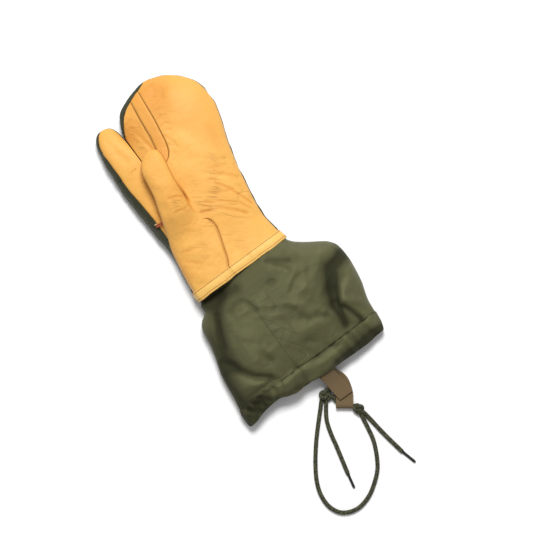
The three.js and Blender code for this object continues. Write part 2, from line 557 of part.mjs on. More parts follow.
// Webbing strap across the back of the wrist, from side seam to side seam.
function wristStrap() {
  const left = Math.min(fromSlit(HAND_ROWS[0].inner), SLIT_X - FINGER_ROWS[0].outer * FINGER_WIDTH);
  const right = fromSlit(HAND_ROWS[0].outer);
  const ringAt = (out) => section(0, left, right, STRAP_LIFT, HAND_HEIGHT, -out, handCounts, null)
    .slice(handCounts.top).map(([x, , z]) => [x, z]);
  const keep = (points) => points.filter(([, z]) => z < SEAM_HEIGHT - 0.5);
  const outline = [...keep(ringAt(STRAP_LIFT)), ...keep(ringAt(2 * GAP)).reverse()];
  const shape = new THREE.Shape(outline.map(([x, z]) => new THREE.Vector2(x, z)));
  const geometry = new THREE.ExtrudeGeometry(shape, { depth: STRAP_WIDTH, bevelEnabled: false });
  geometry.rotateX(Math.PI / 2);
  geometry.translate(0, STRAP_TOP, 0);
  return solidFromGeometry(geometry);
}

// The gauntlet, tucked up inside the leather, and the drawcord casing along its hem.
function gauntlet() {
  const rings = (offset) => [
    tuckRing(CUFF_TUCK, offset), tuckRing(-WRIST_HEM_EDGE - GAP, offset),
    ...CUFF_ROWS.map((row) => cuffRing(row, offset)),
  ];
  return sleeve(rings(0), rings(CLOTH));
}

function cuffHem() {
  const rings = (offset) => CASING_ROWS.map((row) => cuffRing(row, offset));
  return sleeve(rings(0), rings(CLOTH + CASING_EXTRA));
}

// The facing is cut from a thin layer over the gauntlet's palm face.
function facingStrip() {
  const over = (out) => loft(CUFF_ROWS.map((row) => cuffRing(row, -out)));
  const low = -CUFF_LENGTH + CASING_WIDTH + FACING_RISE;
  const left = FACING_RIGHT - FACING_WIDTH;
  const outline = [
    [left, low], [left + FACING_WIDTH, low], [left + FACING_WIDTH, low + FACING_LENGTH],
    [left, low + FACING_LENGTH],
  ];
  const column = prism(outline, SEAM_HEIGHT, top);
  return over(GAP + FACING_THICK).intersect(column).subtract(over(GAP));
}

// The webbing loop: a strip folded on itself that widens round the cord and lies on the ground. Its
// profile is given as pairs of y and z, outside and inside.
function webbingLoop() {
  const hemInside = CUFF_HEIGHT * CASING_ROWS.at(-1).crest - CLOTH - CASING_EXTRA - 2 * GAP;
  const hem = -CUFF_LENGTH;
  const end = hem - LOOP_REACH;
  const room = CORD / 2 + 0.7;
  const fold = room + LOOP_THICK;
  const bend = (radius) => [1, 2, 3, 4, 5].map((k) => {
    const angle = Math.PI / 2 + (Math.PI * k) / 6;
    return [end + fold + radius * Math.cos(angle), fold + radius * Math.sin(angle)];
  });
  const outside = [
    [hem + LOOP_TUCK, hemInside], [hem, hemInside - 0.4], [hem - 8, hemInside - 5.5],
    [hem - 16, hemInside - 9.6],
    [end + 9, 2 * fold + 0.2], [end + fold, 2 * fold], ...bend(fold),
    [end + fold, 0], [end + 15, 0], [hem - 13, 1.6], [hem - 7, 7.2],
    [hem - 1, hemInside - 2 * LOOP_THICK - 1], [hem + LOOP_TUCK, hemInside - 2 * LOOP_THICK],
  ];
  const inside = [
    [hem - 8.5, hemInside - 7.2], [hem - 16, hemInside - 9.6 - LOOP_THICK * 1.1],
    [end + 9, 2 * room + LOOP_THICK + 0.1], [end + fold, 2 * room + LOOP_THICK], ...bend(room),
    [end + fold, LOOP_THICK], [end + 15, LOOP_THICK], [hem - 12.6, 2.9],
  ];
  const shape = new THREE.Shape(outside.map(([y, z]) => new THREE.Vector2(y, z)));
  shape.holes.push(new THREE.Path(inside.map(([y, z]) => new THREE.Vector2(y, z))));
  const geometry = new THREE.ExtrudeGeometry(shape, { depth: LOOP_WIDTH, bevelEnabled: false });
  // The profile's first axis becomes Y and its second Z. The strip leans to the right below the hem.
  geometry.applyMatrix4(new THREE.Matrix4().set(
    -LOOP_LEAN, 0, 1, LOOP_LEFT - LOOP_LEAN * CUFF_LENGTH,
    1, 0, 0, 0,
    0, 1, 0, 0,
    0, 0, 0, 1,
  ));
  return solidFromGeometry(geometry);
}

// A round tube along a smooth route.
function tube(route, diameter, steps) {
  const curve = new THREE.CatmullRomCurve3(route.map((p) => new THREE.Vector3(...p)), false, 'centripetal');
  const sides = 8;
  const ring = [];
  for (let k = 0; k < sides; k += 1) {
    const angle = (2 * Math.PI * (k + 0.5)) / sides;
    ring.push(new THREE.Vector2((diameter / 2) * Math.cos(angle), (diameter / 2) * Math.sin(angle)));
  }
  const options = { steps, extrudePath: curve, bevelEnabled: false };
  return solidFromGeometry(new THREE.ExtrudeGeometry(new THREE.Shape(ring), options));
}

// An overhand knot drawn tight: three wraps of cord tilted round a middle.
function knot(centre, turn, extra) {
  const wraps = [
    { tilt: 0.5, spin: 0, ring: 3.4 },
    { tilt: -0.55, spin: 0.9, ring: 3.3 },
    { tilt: 1.35, spin: -0.6, ring: 2.9 },
  ];
  let solid = solidFromGeometry(new THREE.SphereGeometry(3.4 + extra, 6, 5));
  for (const wrap of wraps) {
    const geometry = new THREE.TorusGeometry(wrap.ring, CORD / 2 - 0.3 + extra, 5, 9);
    geometry.rotateX(wrap.tilt);
    geometry.rotateZ(wrap.spin);
    solid = solid.add(solidFromGeometry(geometry));
  }
  const box = solid.boundingBox();
  const flatten = Math.min(1, (centre[2] - 0.1) / -box.min[2]);
  const matrix = new THREE.Matrix4().makeRotationZ(turn).scale(new THREE.Vector3(1.12, 1, flatten));
  matrix.setPosition(...centre);
  return solid.transform(matrix.elements);
}

const knotLeft = knot(KNOT_LEFT, 0.4, 0);
const knotRight = knot(KNOT_RIGHT, 1.2, 0);
const knotRoom = knot(KNOT_LEFT, 0.4, 3 * GAP).add(knot(KNOT_RIGHT, 1.2, 3 * GAP));
const largest = (solid) => solid.decompose().sort((a, b) => b.volume() - a.volume())[0];
const cordPiece = (route, steps) => largest(tube(route, CORD, steps).subtract(knotRoom));

const group = new THREE.Group();
group.name = 'trigger_finger_mitten_shell';

function addPart(name, solid, material) {
  const clean = largest(largest(solid).simplify(0.05));
  const mesh = clean.getMesh();
  const geometry = new THREE.BufferGeometry();
  const count = mesh.vertProperties.length / mesh.numProp;
  const position = new Float32Array(count * 3);
  for (let i = 0; i < count; i += 1) {
    for (let axis = 0; axis < 3; axis += 1) {
      position[3 * i + axis] = mesh.vertProperties[mesh.numProp * i + axis];
    }
  }
  geometry.setAttribute('position', new THREE.BufferAttribute(position, 3));
  geometry.setIndex([...mesh.triVerts]);
  geometry.computeVertexNormals();
  const part = new THREE.Mesh(geometry, material);
  part.name = name;
  group.add(part);
}

addPart('palm_leather', palmLeather, leather);
addPart('finger_panel', fingerPanel, leather);
addPart('palm_welt', palmWelt, leather);
addPart('thumb', thumb, leather);
addPart('back_cloth', backCloth, olive);
addPart('wrist_strap', wristStrap(), webbing);
addPart('gauntlet', gauntlet(), olive);
addPart('facing_strip', facingStrip(), olive);
addPart('cuff_hem', cuffHem(), olive);
addPart('webbing_loop', webbingLoop(), webbing);
addPart('cord_bridge', cordPiece(BRIDGE_ROUTE, 8), braid);
addPart('cord_loop', cordPiece(LOOP_ROUTE, 28), braid);
addPart('cord_tail_left', cordPiece(TAIL_LEFT_ROUTE, 10), braid);
addPart('cord_tail_right', cordPiece(TAIL_RIGHT_ROUTE, 8), braid);
addPart('knot_left', knotLeft, braid);
addPart('knot_right', knotRight, braid);
addPart('tip_left', tube(TIP_LEFT_ROUTE, CORD_TIP, 3), sealed);
addPart('tip_right', tube(TIP_RIGHT_ROUTE, CORD_TIP, 3), sealed);

export default group;
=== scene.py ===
# %% [markdown]
# # A mitten shell with a trigger finger
# The real thing is sewn from a few flat pieces: a soft yellow leather palm, an olive cloth back, a leather
# thumb that carries the heel of the hand with it, and a wide olive gauntlet with a cord through its hem. It
# lies on a table with the palm up. Each piece is worked out here as a grid of points, because a sewn shell
# is a smooth sheet with seams, and a sheet is a function of two numbers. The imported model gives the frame
# that all of it sits in.

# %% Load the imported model
import math

import bmesh
import bpy
import numpy as np
from mathutils import Matrix, Vector


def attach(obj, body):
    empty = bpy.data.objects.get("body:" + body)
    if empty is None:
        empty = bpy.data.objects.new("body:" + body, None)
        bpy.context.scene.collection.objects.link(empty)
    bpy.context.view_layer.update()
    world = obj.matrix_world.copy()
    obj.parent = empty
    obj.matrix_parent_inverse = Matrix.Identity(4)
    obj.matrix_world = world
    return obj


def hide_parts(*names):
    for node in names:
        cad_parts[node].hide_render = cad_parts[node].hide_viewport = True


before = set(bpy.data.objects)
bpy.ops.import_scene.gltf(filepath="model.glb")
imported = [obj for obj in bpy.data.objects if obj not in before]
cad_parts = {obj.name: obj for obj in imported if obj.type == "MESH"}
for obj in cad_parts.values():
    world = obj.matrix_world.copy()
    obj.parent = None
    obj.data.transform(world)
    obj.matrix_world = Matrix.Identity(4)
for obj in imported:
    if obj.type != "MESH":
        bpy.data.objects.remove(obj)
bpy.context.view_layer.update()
MM = 0.001

# %% [markdown]
# ## The camera
# The mitten lies flat and is seen from straight above, turned on the table. A long lens far above the table
# keeps the shapes free of perspective, so a millimetre on the table is the same number of pixels all over
# the picture.

# %% Camera
CAMERA_HEIGHT = 3.0
GROUND_ACROSS = 0.594
PICTURE_MIDDLE = (0.0224, -0.0234)
PICTURE_TURN = math.radians(36.5)
SENSOR = 36.0

lens = bpy.data.cameras.new("camera")
lens.sensor_width = SENSOR
lens.lens = SENSOR * CAMERA_HEIGHT / GROUND_ACROSS
lens.clip_end = 20
camera = bpy.data.objects.new("camera", lens)
bpy.context.scene.collection.objects.link(camera)
above = Matrix.Translation((*PICTURE_MIDDLE, CAMERA_HEIGHT))
camera.matrix_world = above @ Matrix.Rotation(-PICTURE_TURN, 4, "Z")
bpy.context.scene.camera = camera
print("lens:", round(lens.lens, 1), "mm")

# %% [markdown]
# ## Floor and light
# A white table, a large soft lamp beyond the fingertips and to the right, about sixty degrees up, and an
# even surround. The lamp's size sets how soft the shadows are. They fall towards the hem and to the left.
# Light that comes at a slant matters here: it is what shows the folds of dark cloth.

# %% Floor and light
FLOOR_SIZE = 8.0
FLOOR_PAINT = {"Base Color": (0.93, 0.93, 0.93, 1), "Roughness": 0.9, "Specular IOR Level": 0.1}
LAMP_PLACE = (0.71, 0.97, 2.05)
LAMP_SIZE = 0.8
LAMP_POWER = 61
SURROUND = 0.41


def aim(thing, place):
    """Puts a lamp at a place and turns its beam to the middle of the table."""
    turn = (-Vector(place)).to_track_quat("-Z", "Y").to_matrix().to_4x4()
    thing.matrix_world = Matrix.Translation(place) @ turn


floor_mesh = bpy.data.meshes.new("floor")
half = FLOOR_SIZE / 2
floor_corners = [(-half, -half, 0), (half, -half, 0), (half, half, 0), (-half, half, 0)]
floor_mesh.from_pydata(floor_corners, [], [(0, 1, 2, 3)])
floor = bpy.data.objects.new("floor", floor_mesh)
bpy.context.scene.collection.objects.link(floor)
floor_paint = bpy.data.materials.new("pale_floor")
floor_paint.use_nodes = True
for socket, value in FLOOR_PAINT.items():
    floor_paint.node_tree.nodes["Principled BSDF"].inputs[socket].default_value = value
floor_mesh.materials.append(floor_paint)

lamp = bpy.data.lights.new("softbox", "AREA")
lamp.size = LAMP_SIZE
lamp.energy = LAMP_POWER
softbox = bpy.data.objects.new("softbox", lamp)
bpy.context.scene.collection.objects.link(softbox)
aim(softbox, LAMP_PLACE)
world = bpy.data.worlds.new("surround")
world.use_nodes = True
world.node_tree.nodes["Background"].inputs["Color"].default_value = (1, 1, 1, 1)
world.node_tree.nodes["Background"].inputs["Strength"].default_value = SURROUND
bpy.context.scene.world = world
bpy.context.scene.view_settings.view_transform = "Standard"
print("lamp:", LAMP_POWER, "W at", LAMP_PLACE)

# %% [markdown]
# ## Helpers for shapes
# A table gives a form at a few places along its length. Between them the values follow a smooth curve that
# never swings past its neighbours. A form that ends in a round tip is read against the square root of the
# distance to the tip, which turns a straight line in the table into a round end.

# %% Reading a table smoothly
def smooth(at, values, where):
    """Cubic curve through the table: the slope at each row is the harmonic mean of the two slopes beside
    it, or nought at a peak, so the curve has no overshoot."""
    at, values = np.asarray(at, float), np.asarray(values, float)
    where = np.clip(np.asarray(where, float), at[0], at[-1])
    steps = np.diff(values) / np.diff(at)
    product = steps[:-1] * steps[1:]
    total = np.where(product > 0, steps[:-1] + steps[1:], 1)
    slopes = np.concatenate([steps[:1], np.where(product > 0, 2 * product / total, 0), steps[-1:]])
    i = np.clip(np.searchsorted(at, where, side="right") - 1, 0, len(at) - 2)
    span = at[i + 1] - at[i]
    t = (where - at[i]) / span
    return (values[i] * (1 + 2 * t) * (1 - t) ** 2 + slopes[i] * span * t * (1 - t) ** 2
            + values[i + 1] * t * t * (3 - 2 * t) - slopes[i + 1] * span * t * t * (1 - t))


def step(low, high, where):
    """Soft step: nought below low, one above high, and t²(3 - 2t) between them."""
    t = np.clip((np.asarray(where, float) - low) / (high - low), 0, 1)
    return t * t * (3 - 2 * t)


def bell(distance, width):
    """exp(-(distance/width)²): one at a line and nought well away from it."""
    return np.exp(-(np.asarray(distance) / width) ** 2)


def arch(t, power):
    """A rounded arch (1 - |t|^p)^(1/p) over t from -1 to 1, and nought outside."""
    return np.maximum(1 - np.minimum(t, 1) ** power, 0) ** (1 / power)


def arc_lengths(line):
    """Length along a line of points, from nought at the first one."""
    return np.concatenate([[0], np.cumsum(np.linalg.norm(np.diff(line, axis=0), axis=1))])


def like_grid(y, x):
    """The row values y, repeated for all columns of the grid x."""
    return np.broadcast_to(y[:, None], x.shape)


class Form:
    """A table with named columns over y, with a round tip at its last row where tip is true."""

    def __init__(self, columns, rows, tip=False):
        self.rows = np.array(rows, float)
        self.names = columns.split()
        self.tip = self.rows[-1, 0] if tip else None

    def ruler(self, y):
        """The table's measure along y: minus the square root of the distance to the tip, or y itself."""
        y = np.asarray(y, float)
        return y if self.tip is None else -np.sqrt(np.maximum(self.tip - y, 0))

    def __call__(self, name, y):
        return smooth(self.ruler(self.rows[:, 0]), self.rows[:, self.names.index(name)], self.ruler(y))


# %% [markdown]
# ## Random but repeatable surfaces
# Cloth and leather are never perfectly smooth. A sum of a few waves that run in random directions makes a
# soft random height, and the narrow lines where that height crosses nought make natural looking creases.
# Every sum starts from a fixed seed, so the mitten comes out the same each time.

# %% Ripples and creases
def ripple(x, y, size, seed, stretch=1.0, waves=14):
    """Sum of cosine waves of about the given length in random directions, scaled to about -1..1."""
    rng = np.random.default_rng(seed)
    height = np.zeros(np.broadcast(x, y).shape)
    for _ in range(waves):
        turn, phase = rng.uniform(0, 2 * np.pi, 2)
        pull = 2 * np.pi / size * rng.uniform(0.65, 1.5)
        height += np.cos(pull * (x * math.cos(turn) + y / stretch * math.sin(turn)) + phase)
    return height * math.sqrt(2 / waves) * 0.7


def creases(x, y, size, seed, width=0.12, stretch=1.0):
    """Narrow valleys: minus exp(-(h/width)²) along the lines where a warped ripple h crosses nought."""
    bend = 0.35 * size * ripple(x, y, 2.2 * size, seed + 1)
    return -bell(ripple(x + bend, y - bend, size, seed + 2, stretch), width)


def folds(lines, x, y):
    """Sum of rise·exp(-(d/spread)²), where d is the distance to a line of points. Each line is (spread,
    rise, points)."""
    height = np.zeros(np.broadcast(x, y).shape)
    for spread, rise, points in lines:
        points = np.array(points, float)
        near = np.full(height.shape, 1e9)
        for a, b in zip(points[:-1], points[1:]):
            along = b - a
            t = np.clip(((x - a[0]) * along[0] + (y - a[1]) * along[1]) / (along @ along), 0, 1)
            near = np.minimum(near, (x - a[0] - t * along[0]) ** 2 + (y - a[1] - t * along[1]) ** 2)
        height += rise * np.exp(-near / spread ** 2)
    return height


# %% [markdown]
# ## From grids to pieces
# A sheet is a grid of points, rows towards the fingertips and columns to the right, so that its faces look
# up. It also holds a place on the cloth in metres, for the weave, and a tint for wear and dirt and for
# painted shade and highlight. Sheets that share an edge are merged into one mesh, and a wall gets its
# thickness from a Solidify modifier.

# %% Making a mesh from sheets
def along_sheet(points):
    """Cloth coordinates of a grid in metres: the arc length along each row and along each column."""
    across = np.linalg.norm(np.diff(points, axis=1), axis=2)
    up = np.linalg.norm(np.diff(points, axis=0), axis=2)
    u = np.concatenate([np.zeros((len(points), 1)), np.cumsum(across, axis=1)], axis=1)
    v = np.concatenate([np.zeros((1, points.shape[1])), np.cumsum(up, axis=0)], axis=0)
    u = u - u[:, u.shape[1] // 2][:, None]
    v = np.broadcast_to(v[:, v.shape[1] // 2][:, None], v.shape)
    return np.stack([u, v], axis=-1) * MM


def make_piece(name, sheets, material, wall=0.0, merge=0.02, wrinkle=None):
    """One object from sheets of points in millimetres. A sheet is (points, tint) or (points, tint, uv).
    wrinkle is a function of x and y that says how creased the material is there."""
    places, tints, cloth, faces, start = [], [], [], [], 0
    for points, tint, *rest in sheets:
        rows, columns = points.shape[:2]
        corner = (np.arange(rows - 1)[:, None] * columns + np.arange(columns - 1)[None, :]).ravel() + start
        faces.append(np.stack([corner, corner + 1, corner + columns + 1, corner + columns], axis=1))
        places.append(points.reshape(-1, 3) * MM)
        tints.append(np.broadcast_to(tint, (rows, columns)).ravel())
        cloth.append((rest[0] if rest else along_sheet(points)).reshape(-1, 2))
        start += rows * columns
    places, faces = np.concatenate(places), np.concatenate(faces)
    mesh = bpy.data.meshes.new(name)
    mesh.vertices.add(len(places))
    mesh.vertices.foreach_set("co", places.ravel())
    mesh.loops.add(faces.size)
    mesh.loops.foreach_set("vertex_index", faces.ravel())
    mesh.polygons.add(len(faces))
    mesh.polygons.foreach_set("loop_start", np.arange(0, faces.size, 4))
    mesh.uv_layers.new(name="UVMap").data.foreach_set("uv", np.concatenate(cloth)[faces.ravel()].ravel())
    mesh.attributes.new("tint", "FLOAT", "POINT").data.foreach_set("value", np.concatenate(tints))
    if wrinkle:
        creased = wrinkle(places[:, 0] / MM, places[:, 1] / MM)
        mesh.attributes.new("wrinkle", "FLOAT", "POINT").data.foreach_set("value", creased)
    mesh.update(calc_edges=True)
    work = bmesh.new()
    work.from_mesh(mesh)
    bmesh.ops.remove_doubles(work, verts=work.verts, dist=merge * MM)
    bmesh.ops.dissolve_degenerate(work, edges=work.edges, dist=merge * MM * 0.1)
    work.to_mesh(mesh)
    work.free()
    mesh.validate()
    mesh.shade_smooth()
    mesh.materials.append(material)
    piece = bpy.data.objects.new(name, mesh)
    bpy.context.scene.collection.objects.link(piece)
    if wall:
        shell = piece.modifiers.new("wall", "SOLIDIFY")
        shell.thickness = wall * MM
        shell.offset = -1
    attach(piece, "root")
    print(f"{name}: {len(mesh.polygons)} faces")
    return piece


def close_ends(points):
    """Adds a row at each end of a tube's grid with all points at the ring's middle, which closes it."""
    first, last = (np.broadcast_to(points[k, :-1].mean(axis=0), points[k].shape)[None] for k in (0, -1))
    return np.concatenate([first, points, last])


# %% [markdown]
# ## Materials
# Each finish is a small graph: a colour that varies, and a bump that repeats at the real scale. The class
# below adds one node with each call, so a graph reads as a list of what it does. A tint of nought leaves
# the colour as it is, and a tint of one is the worn or shaded colour.

# %% Node helpers
class Graph:
    """A material under construction. Each method adds a node, links or sets its inputs, and gives its
    output."""

    def __init__(self, name, roughness, specular, sheen=0.0, sheen_roughness=0.5):
        self.material = bpy.data.materials.new(name)
        self.material.use_nodes = True
        self.tree = self.material.node_tree
        self.shader = self.tree.nodes["Principled BSDF"]
        self.shader.inputs["Roughness"].default_value = roughness
        self.shader.inputs["Specular IOR Level"].default_value = specular
        self.shader.inputs["Sheen Weight"].default_value = sheen
        self.shader.inputs["Sheen Roughness"].default_value = sheen_roughness
        self.place = self.add("TexCoord", output=3)

    def add(self, kind, output=0, inputs=None, **settings):
        made = self.tree.nodes.new("ShaderNode" + kind)
        for key, value in settings.items():
            setattr(made, key, value)
        for key, value in (inputs or {}).items():
            if isinstance(value, bpy.types.NodeSocket):
                self.tree.links.new(value, made.inputs[key])
            else:
                made.inputs[key].default_value = value
        return made.outputs[output]

    def maths(self, operation, a, b=0.0, c=0.0):
        return self.add("Math", inputs={0: a, 1: b, 2: c}, operation=operation)

    def times(self, a, b, plus=0.0):
        """a·b + plus."""
        return self.maths("MULTIPLY_ADD", a, b, plus)

    def minus(self, a, b):
        return self.maths("SUBTRACT", a, b)

    def clamp(self, value):
        return self.add("Clamp", inputs={0: value})

    def noise(self, scale, detail=2.0, place=None, distortion=0.0):
        return self.add("TexNoise", inputs={"Vector": place or self.place, "Scale": scale, "Detail": detail,
                                            "Distortion": distortion})

    def attribute(self, name):
        return self.add("Attribute", output=2, attribute_name=name)

    def blend(self, share, first, second):
        colours = {key: colour if isinstance(colour, bpy.types.NodeSocket) else (*colour, 1)
                   for key, colour in ((6, first), (7, second))}
        return self.add("Mix", output=2, inputs={0: share, **colours}, data_type="RGBA")

    def finish(self, colour, height, depth_mm, roughness=None):
        """Links the colour, a bump whose full height is depth_mm, and the roughness, and gives the
        material."""
        bump = self.add("Bump", inputs={"Height": height, "Strength": 1.0, "Distance": depth_mm * MM})
        for socket, value in (("Base Color", colour), ("Normal", bump), ("Roughness", roughness)):
            if value is not None:
                self.tree.links.new(value, self.shader.inputs[socket])
        return self.material


# %% [markdown]
# ### Leather
# Soft grain leather is a mesh of tiny rounded cells with finer pores, less than a millimetre across. Its
# yellow deepens to orange in random patches and where the tint says, and it is a little rougher where the
# patches are deep. Where it is wrinkled, fine creases run mostly across the palm, and painted shade darkens
# them and the grooves between the cells. Two vertex attributes say where: tint is the wear together with
# painted shade and painted highlight, and above one it is the dirt of a seam, and wrinkle is how creased
# the leather is.

# %% Leather
CREASE_TURN = math.radians(-40)
CREASE_STRETCH = (7, 1, 1)
SEAM_BROWN = (0.13, 0.055, 0.016)
CELLS_PER_M, PORES_PER_M, DENTS_PER_M = 1150.0, 2400.0, 170.0
GRAIN_MM = 0.11


def crease_lines(graph, place, scale, sharpness):
    """One along the lines where a warped noise passes its middle value, and nought away from them."""
    off = graph.maths("ABSOLUTE", graph.minus(graph.noise(scale, place=place, distortion=0.35), 0.5))
    return graph.minus(1.0, graph.maths("MINIMUM", graph.times(off, sharpness), 1.0))


def make_leather(name, light, deep, gloss):
    """Grain, creases where the wrinkle attribute says, patches of the deeper colour, and dirt in the
    seams."""
    graph = Graph(name, gloss, specular=0.22)
    cells = graph.add("TexVoronoi", inputs={"Vector": graph.place, "Scale": CELLS_PER_M},
                      feature="DISTANCE_TO_EDGE")
    cell_walls = graph.maths("MINIMUM", graph.times(cells, 3.0), 1.0)
    height = graph.times(cell_walls, 0.35, graph.times(graph.noise(PORES_PER_M), 0.2))
    height = graph.times(graph.noise(DENTS_PER_M, 3.0), 1.6, height)
    turned = graph.add("Mapping", inputs={"Vector": graph.place, "Rotation": (0, 0, CREASE_TURN),
                                          "Scale": CREASE_STRETCH}, vector_type="TEXTURE")
    here = graph.clamp(graph.times(graph.noise(60.0, 1.0), 5.0, -2.1))
    long_lines = graph.times(crease_lines(graph, turned, 90.0, 17.0), here)
    fine_lines = graph.times(crease_lines(graph, turned, 200.0, 12.0), 0.2)
    lines = graph.times(graph.maths("MAXIMUM", long_lines, fine_lines), graph.attribute("wrinkle"))
    height = graph.times(lines, -3.2, height)
    patches = graph.times(graph.noise(14.0, 4.0), 1.8, -0.55)
    # The tint holds wear and painted shade and highlight, and above one the dirt of a seam.
    wear_and_shade = graph.attribute("tint")
    share = graph.times(patches, 0.5, graph.maths("MINIMUM", wear_and_shade, 1.0))
    colour = graph.blend(graph.clamp(share), light, deep)
    # Painted shade: the colour is darker in the grooves between the grain's cells and along the crease
    # lines.
    cell_groove_painted_shade = graph.times(graph.minus(1.0, cell_walls), 0.2)
    crease_line_painted_shade = graph.clamp(graph.times(lines, 0.42, cell_groove_painted_shade))
    colour = graph.blend(crease_line_painted_shade, colour, tuple(0.45 * c for c in deep))
    colour = graph.blend(graph.clamp(graph.minus(wear_and_shade, 1.0)), colour, SEAM_BROWN)
    return graph.finish(colour, height, GRAIN_MM, graph.times(patches, 0.14, gloss - 0.05))


palm_finish = make_leather("golden_grain_leather", (0.80, 0.425, 0.098), (0.68, 0.30, 0.056), 0.55)
hem_finish = make_leather("pale_turned_leather", (0.85, 0.54, 0.155), (0.74, 0.39, 0.085), 0.5)
print("leathers:", palm_finish.name, hem_finish.name)

# %% [markdown]
# ### Cloth
# The back and the gauntlet are a tight olive sateen: warp threads half a millimetre apart lie over the weft
# in a diagonal order and catch the light on the folds. The weave follows each sheet's own cloth
# coordinates, so it bends with the folds and keeps its size.

# %% Olive cloth
WEAVE_SLANT = 0.4


def weave(graph, warp_mm, weft_mm):
    """Height of a weave: rounded warp threads, cut by rounded weft threads."""
    place = graph.add("SeparateXYZ", inputs={0: graph.add("UVMap", uv_map="UVMap")})
    across, up = place.node.outputs[0], place.node.outputs[1]
    wobbly = graph.times(graph.noise(90.0), 0.6 * warp_mm * MM, across)
    slanted = graph.times(up, WEAVE_SLANT, wobbly)
    warp = graph.maths("SINE", graph.times(slanted, 2 * math.pi / (warp_mm * MM)))
    weft = graph.maths("SINE", graph.times(up, 2 * math.pi / (weft_mm * MM)))
    return graph.times(warp, 0.35, graph.times(weft, 0.15, 0.5))


def make_cloth(name, light, deep, gloss, warp_mm=0.55, weft_mm=0.4, depth_mm=0.10, shine=0.5, sheen=0.1):
    """A weave with slubs. It is duller and darker where the tint says, and painted shade makes it darkest
    between the threads.
    """
    graph = Graph(name, gloss, specular=shine, sheen=sheen, sheen_roughness=0.45)
    graph.shader.inputs["Sheen Tint"].default_value = (0.75, 0.75, 0.6, 1)
    graph.shader.inputs["Specular Tint"].default_value = (1.0, 1.0, 0.6, 1)
    threads = weave(graph, warp_mm, weft_mm)
    slubs = graph.noise(260.0, 3.0)
    height = graph.times(slubs, 1.1, threads)
    # The tint holds wear and painted shade and highlight, and above one the dirt of a seam.
    wear_and_shade = graph.attribute("tint")
    share = graph.clamp(graph.times(graph.noise(18.0, 3.0), 0.3, graph.minus(wear_and_shade, 0.2)))
    colour = graph.blend(share, light, deep)
    # Painted shade between the threads, and dirt in the seams.
    between = graph.times(graph.minus(1.0, threads), 0.30)
    seams = graph.times(graph.clamp(graph.minus(wear_and_shade, 1.0)), 0.8)
    colour = graph.blend(graph.maths("MAXIMUM", between, seams), colour, tuple(0.3 * c for c in deep))
    return graph.finish(colour, height, depth_mm,
                        graph.times(slubs, 0.12, graph.times(share, 0.3, gloss - 0.1)))


cloth_finish = make_cloth("olive_sateen", (0.091, 0.089, 0.040), (0.011, 0.011, 0.0045), 0.50, shine=0.42,
                          sheen=0.04)
back_finish = make_cloth("olive_back_cloth", (0.030, 0.032, 0.018), (0.015, 0.016, 0.009), 0.6, shine=0.3)
webbing_finish = make_cloth("brown_webbing", (0.185, 0.125, 0.066), (0.085, 0.055, 0.030), 0.7, warp_mm=1.1,
                            weft_mm=2.2, depth_mm=0.3, shine=0.3)
strap_finish = make_cloth("olive_webbing_weave", (0.095, 0.095, 0.05), (0.06, 0.06, 0.03), 0.7, warp_mm=1.1,
                          weft_mm=2.2, depth_mm=0.3, shine=0.3)

# %% [markdown]
# ### Cord, sealed ends and thread
# The cord's braid is in its mesh, and its tint is painted shade in the grooves between the strands and
# painted highlight on their crests, so the material only adds fibres and colour. The sealed ends are dipped
# and shiny. The threads are fine twisted yarn.

# %% Cord, ends and thread
def make_yarn(name, light, deep, gloss, fibre_scale=2500.0):
    """Fine fibres with specks of the deeper colour."""
    graph = Graph(name, gloss, specular=0.25, sheen=0.03)
    fibres = graph.noise(fibre_scale)
    share = graph.times(fibres, 0.5, graph.minus(graph.attribute("tint"), 0.2))
    specks = graph.times(graph.noise(fibre_scale / 4, 0.0), 2.4, -1.2)
    colour = graph.blend(graph.clamp(graph.maths("ADD", share, specks)), light, deep)
    return graph.finish(colour, fibres, 0.08)


braid_finish = make_yarn("olive_braid", (0.080, 0.080, 0.041), (0.010, 0.011, 0.006), 0.75)
tip_finish = make_yarn("sealed_cord_end", (0.02, 0.02, 0.015), (0.01, 0.01, 0.008), 0.4, 900.0)
dark_thread = make_yarn("olive_thread", (0.13, 0.11, 0.055), (0.06, 0.05, 0.025), 0.6)
tan_thread = make_yarn("tan_thread", (0.70, 0.52, 0.30), (0.45, 0.30, 0.15), 0.6)
pale_thread = make_yarn("pale_olive_thread", (0.20, 0.20, 0.11), (0.11, 0.11, 0.06), 0.6)
tack_thread = make_yarn("red_brown_thread", (0.44, 0.100, 0.030), (0.24, 0.05, 0.016), 0.6)

# %% [markdown]
# ## The cord
# A braided cord about 5 mm thick runs through the webbing at the hem, with a knot on each side. From the
# knots one long piece makes a big loop and two short pieces are the free tails, each with a thin sealed
# end. The cord is limp, so it lies on the table in soft curves. A route of points is smoothed, and a
# braided tube follows it.

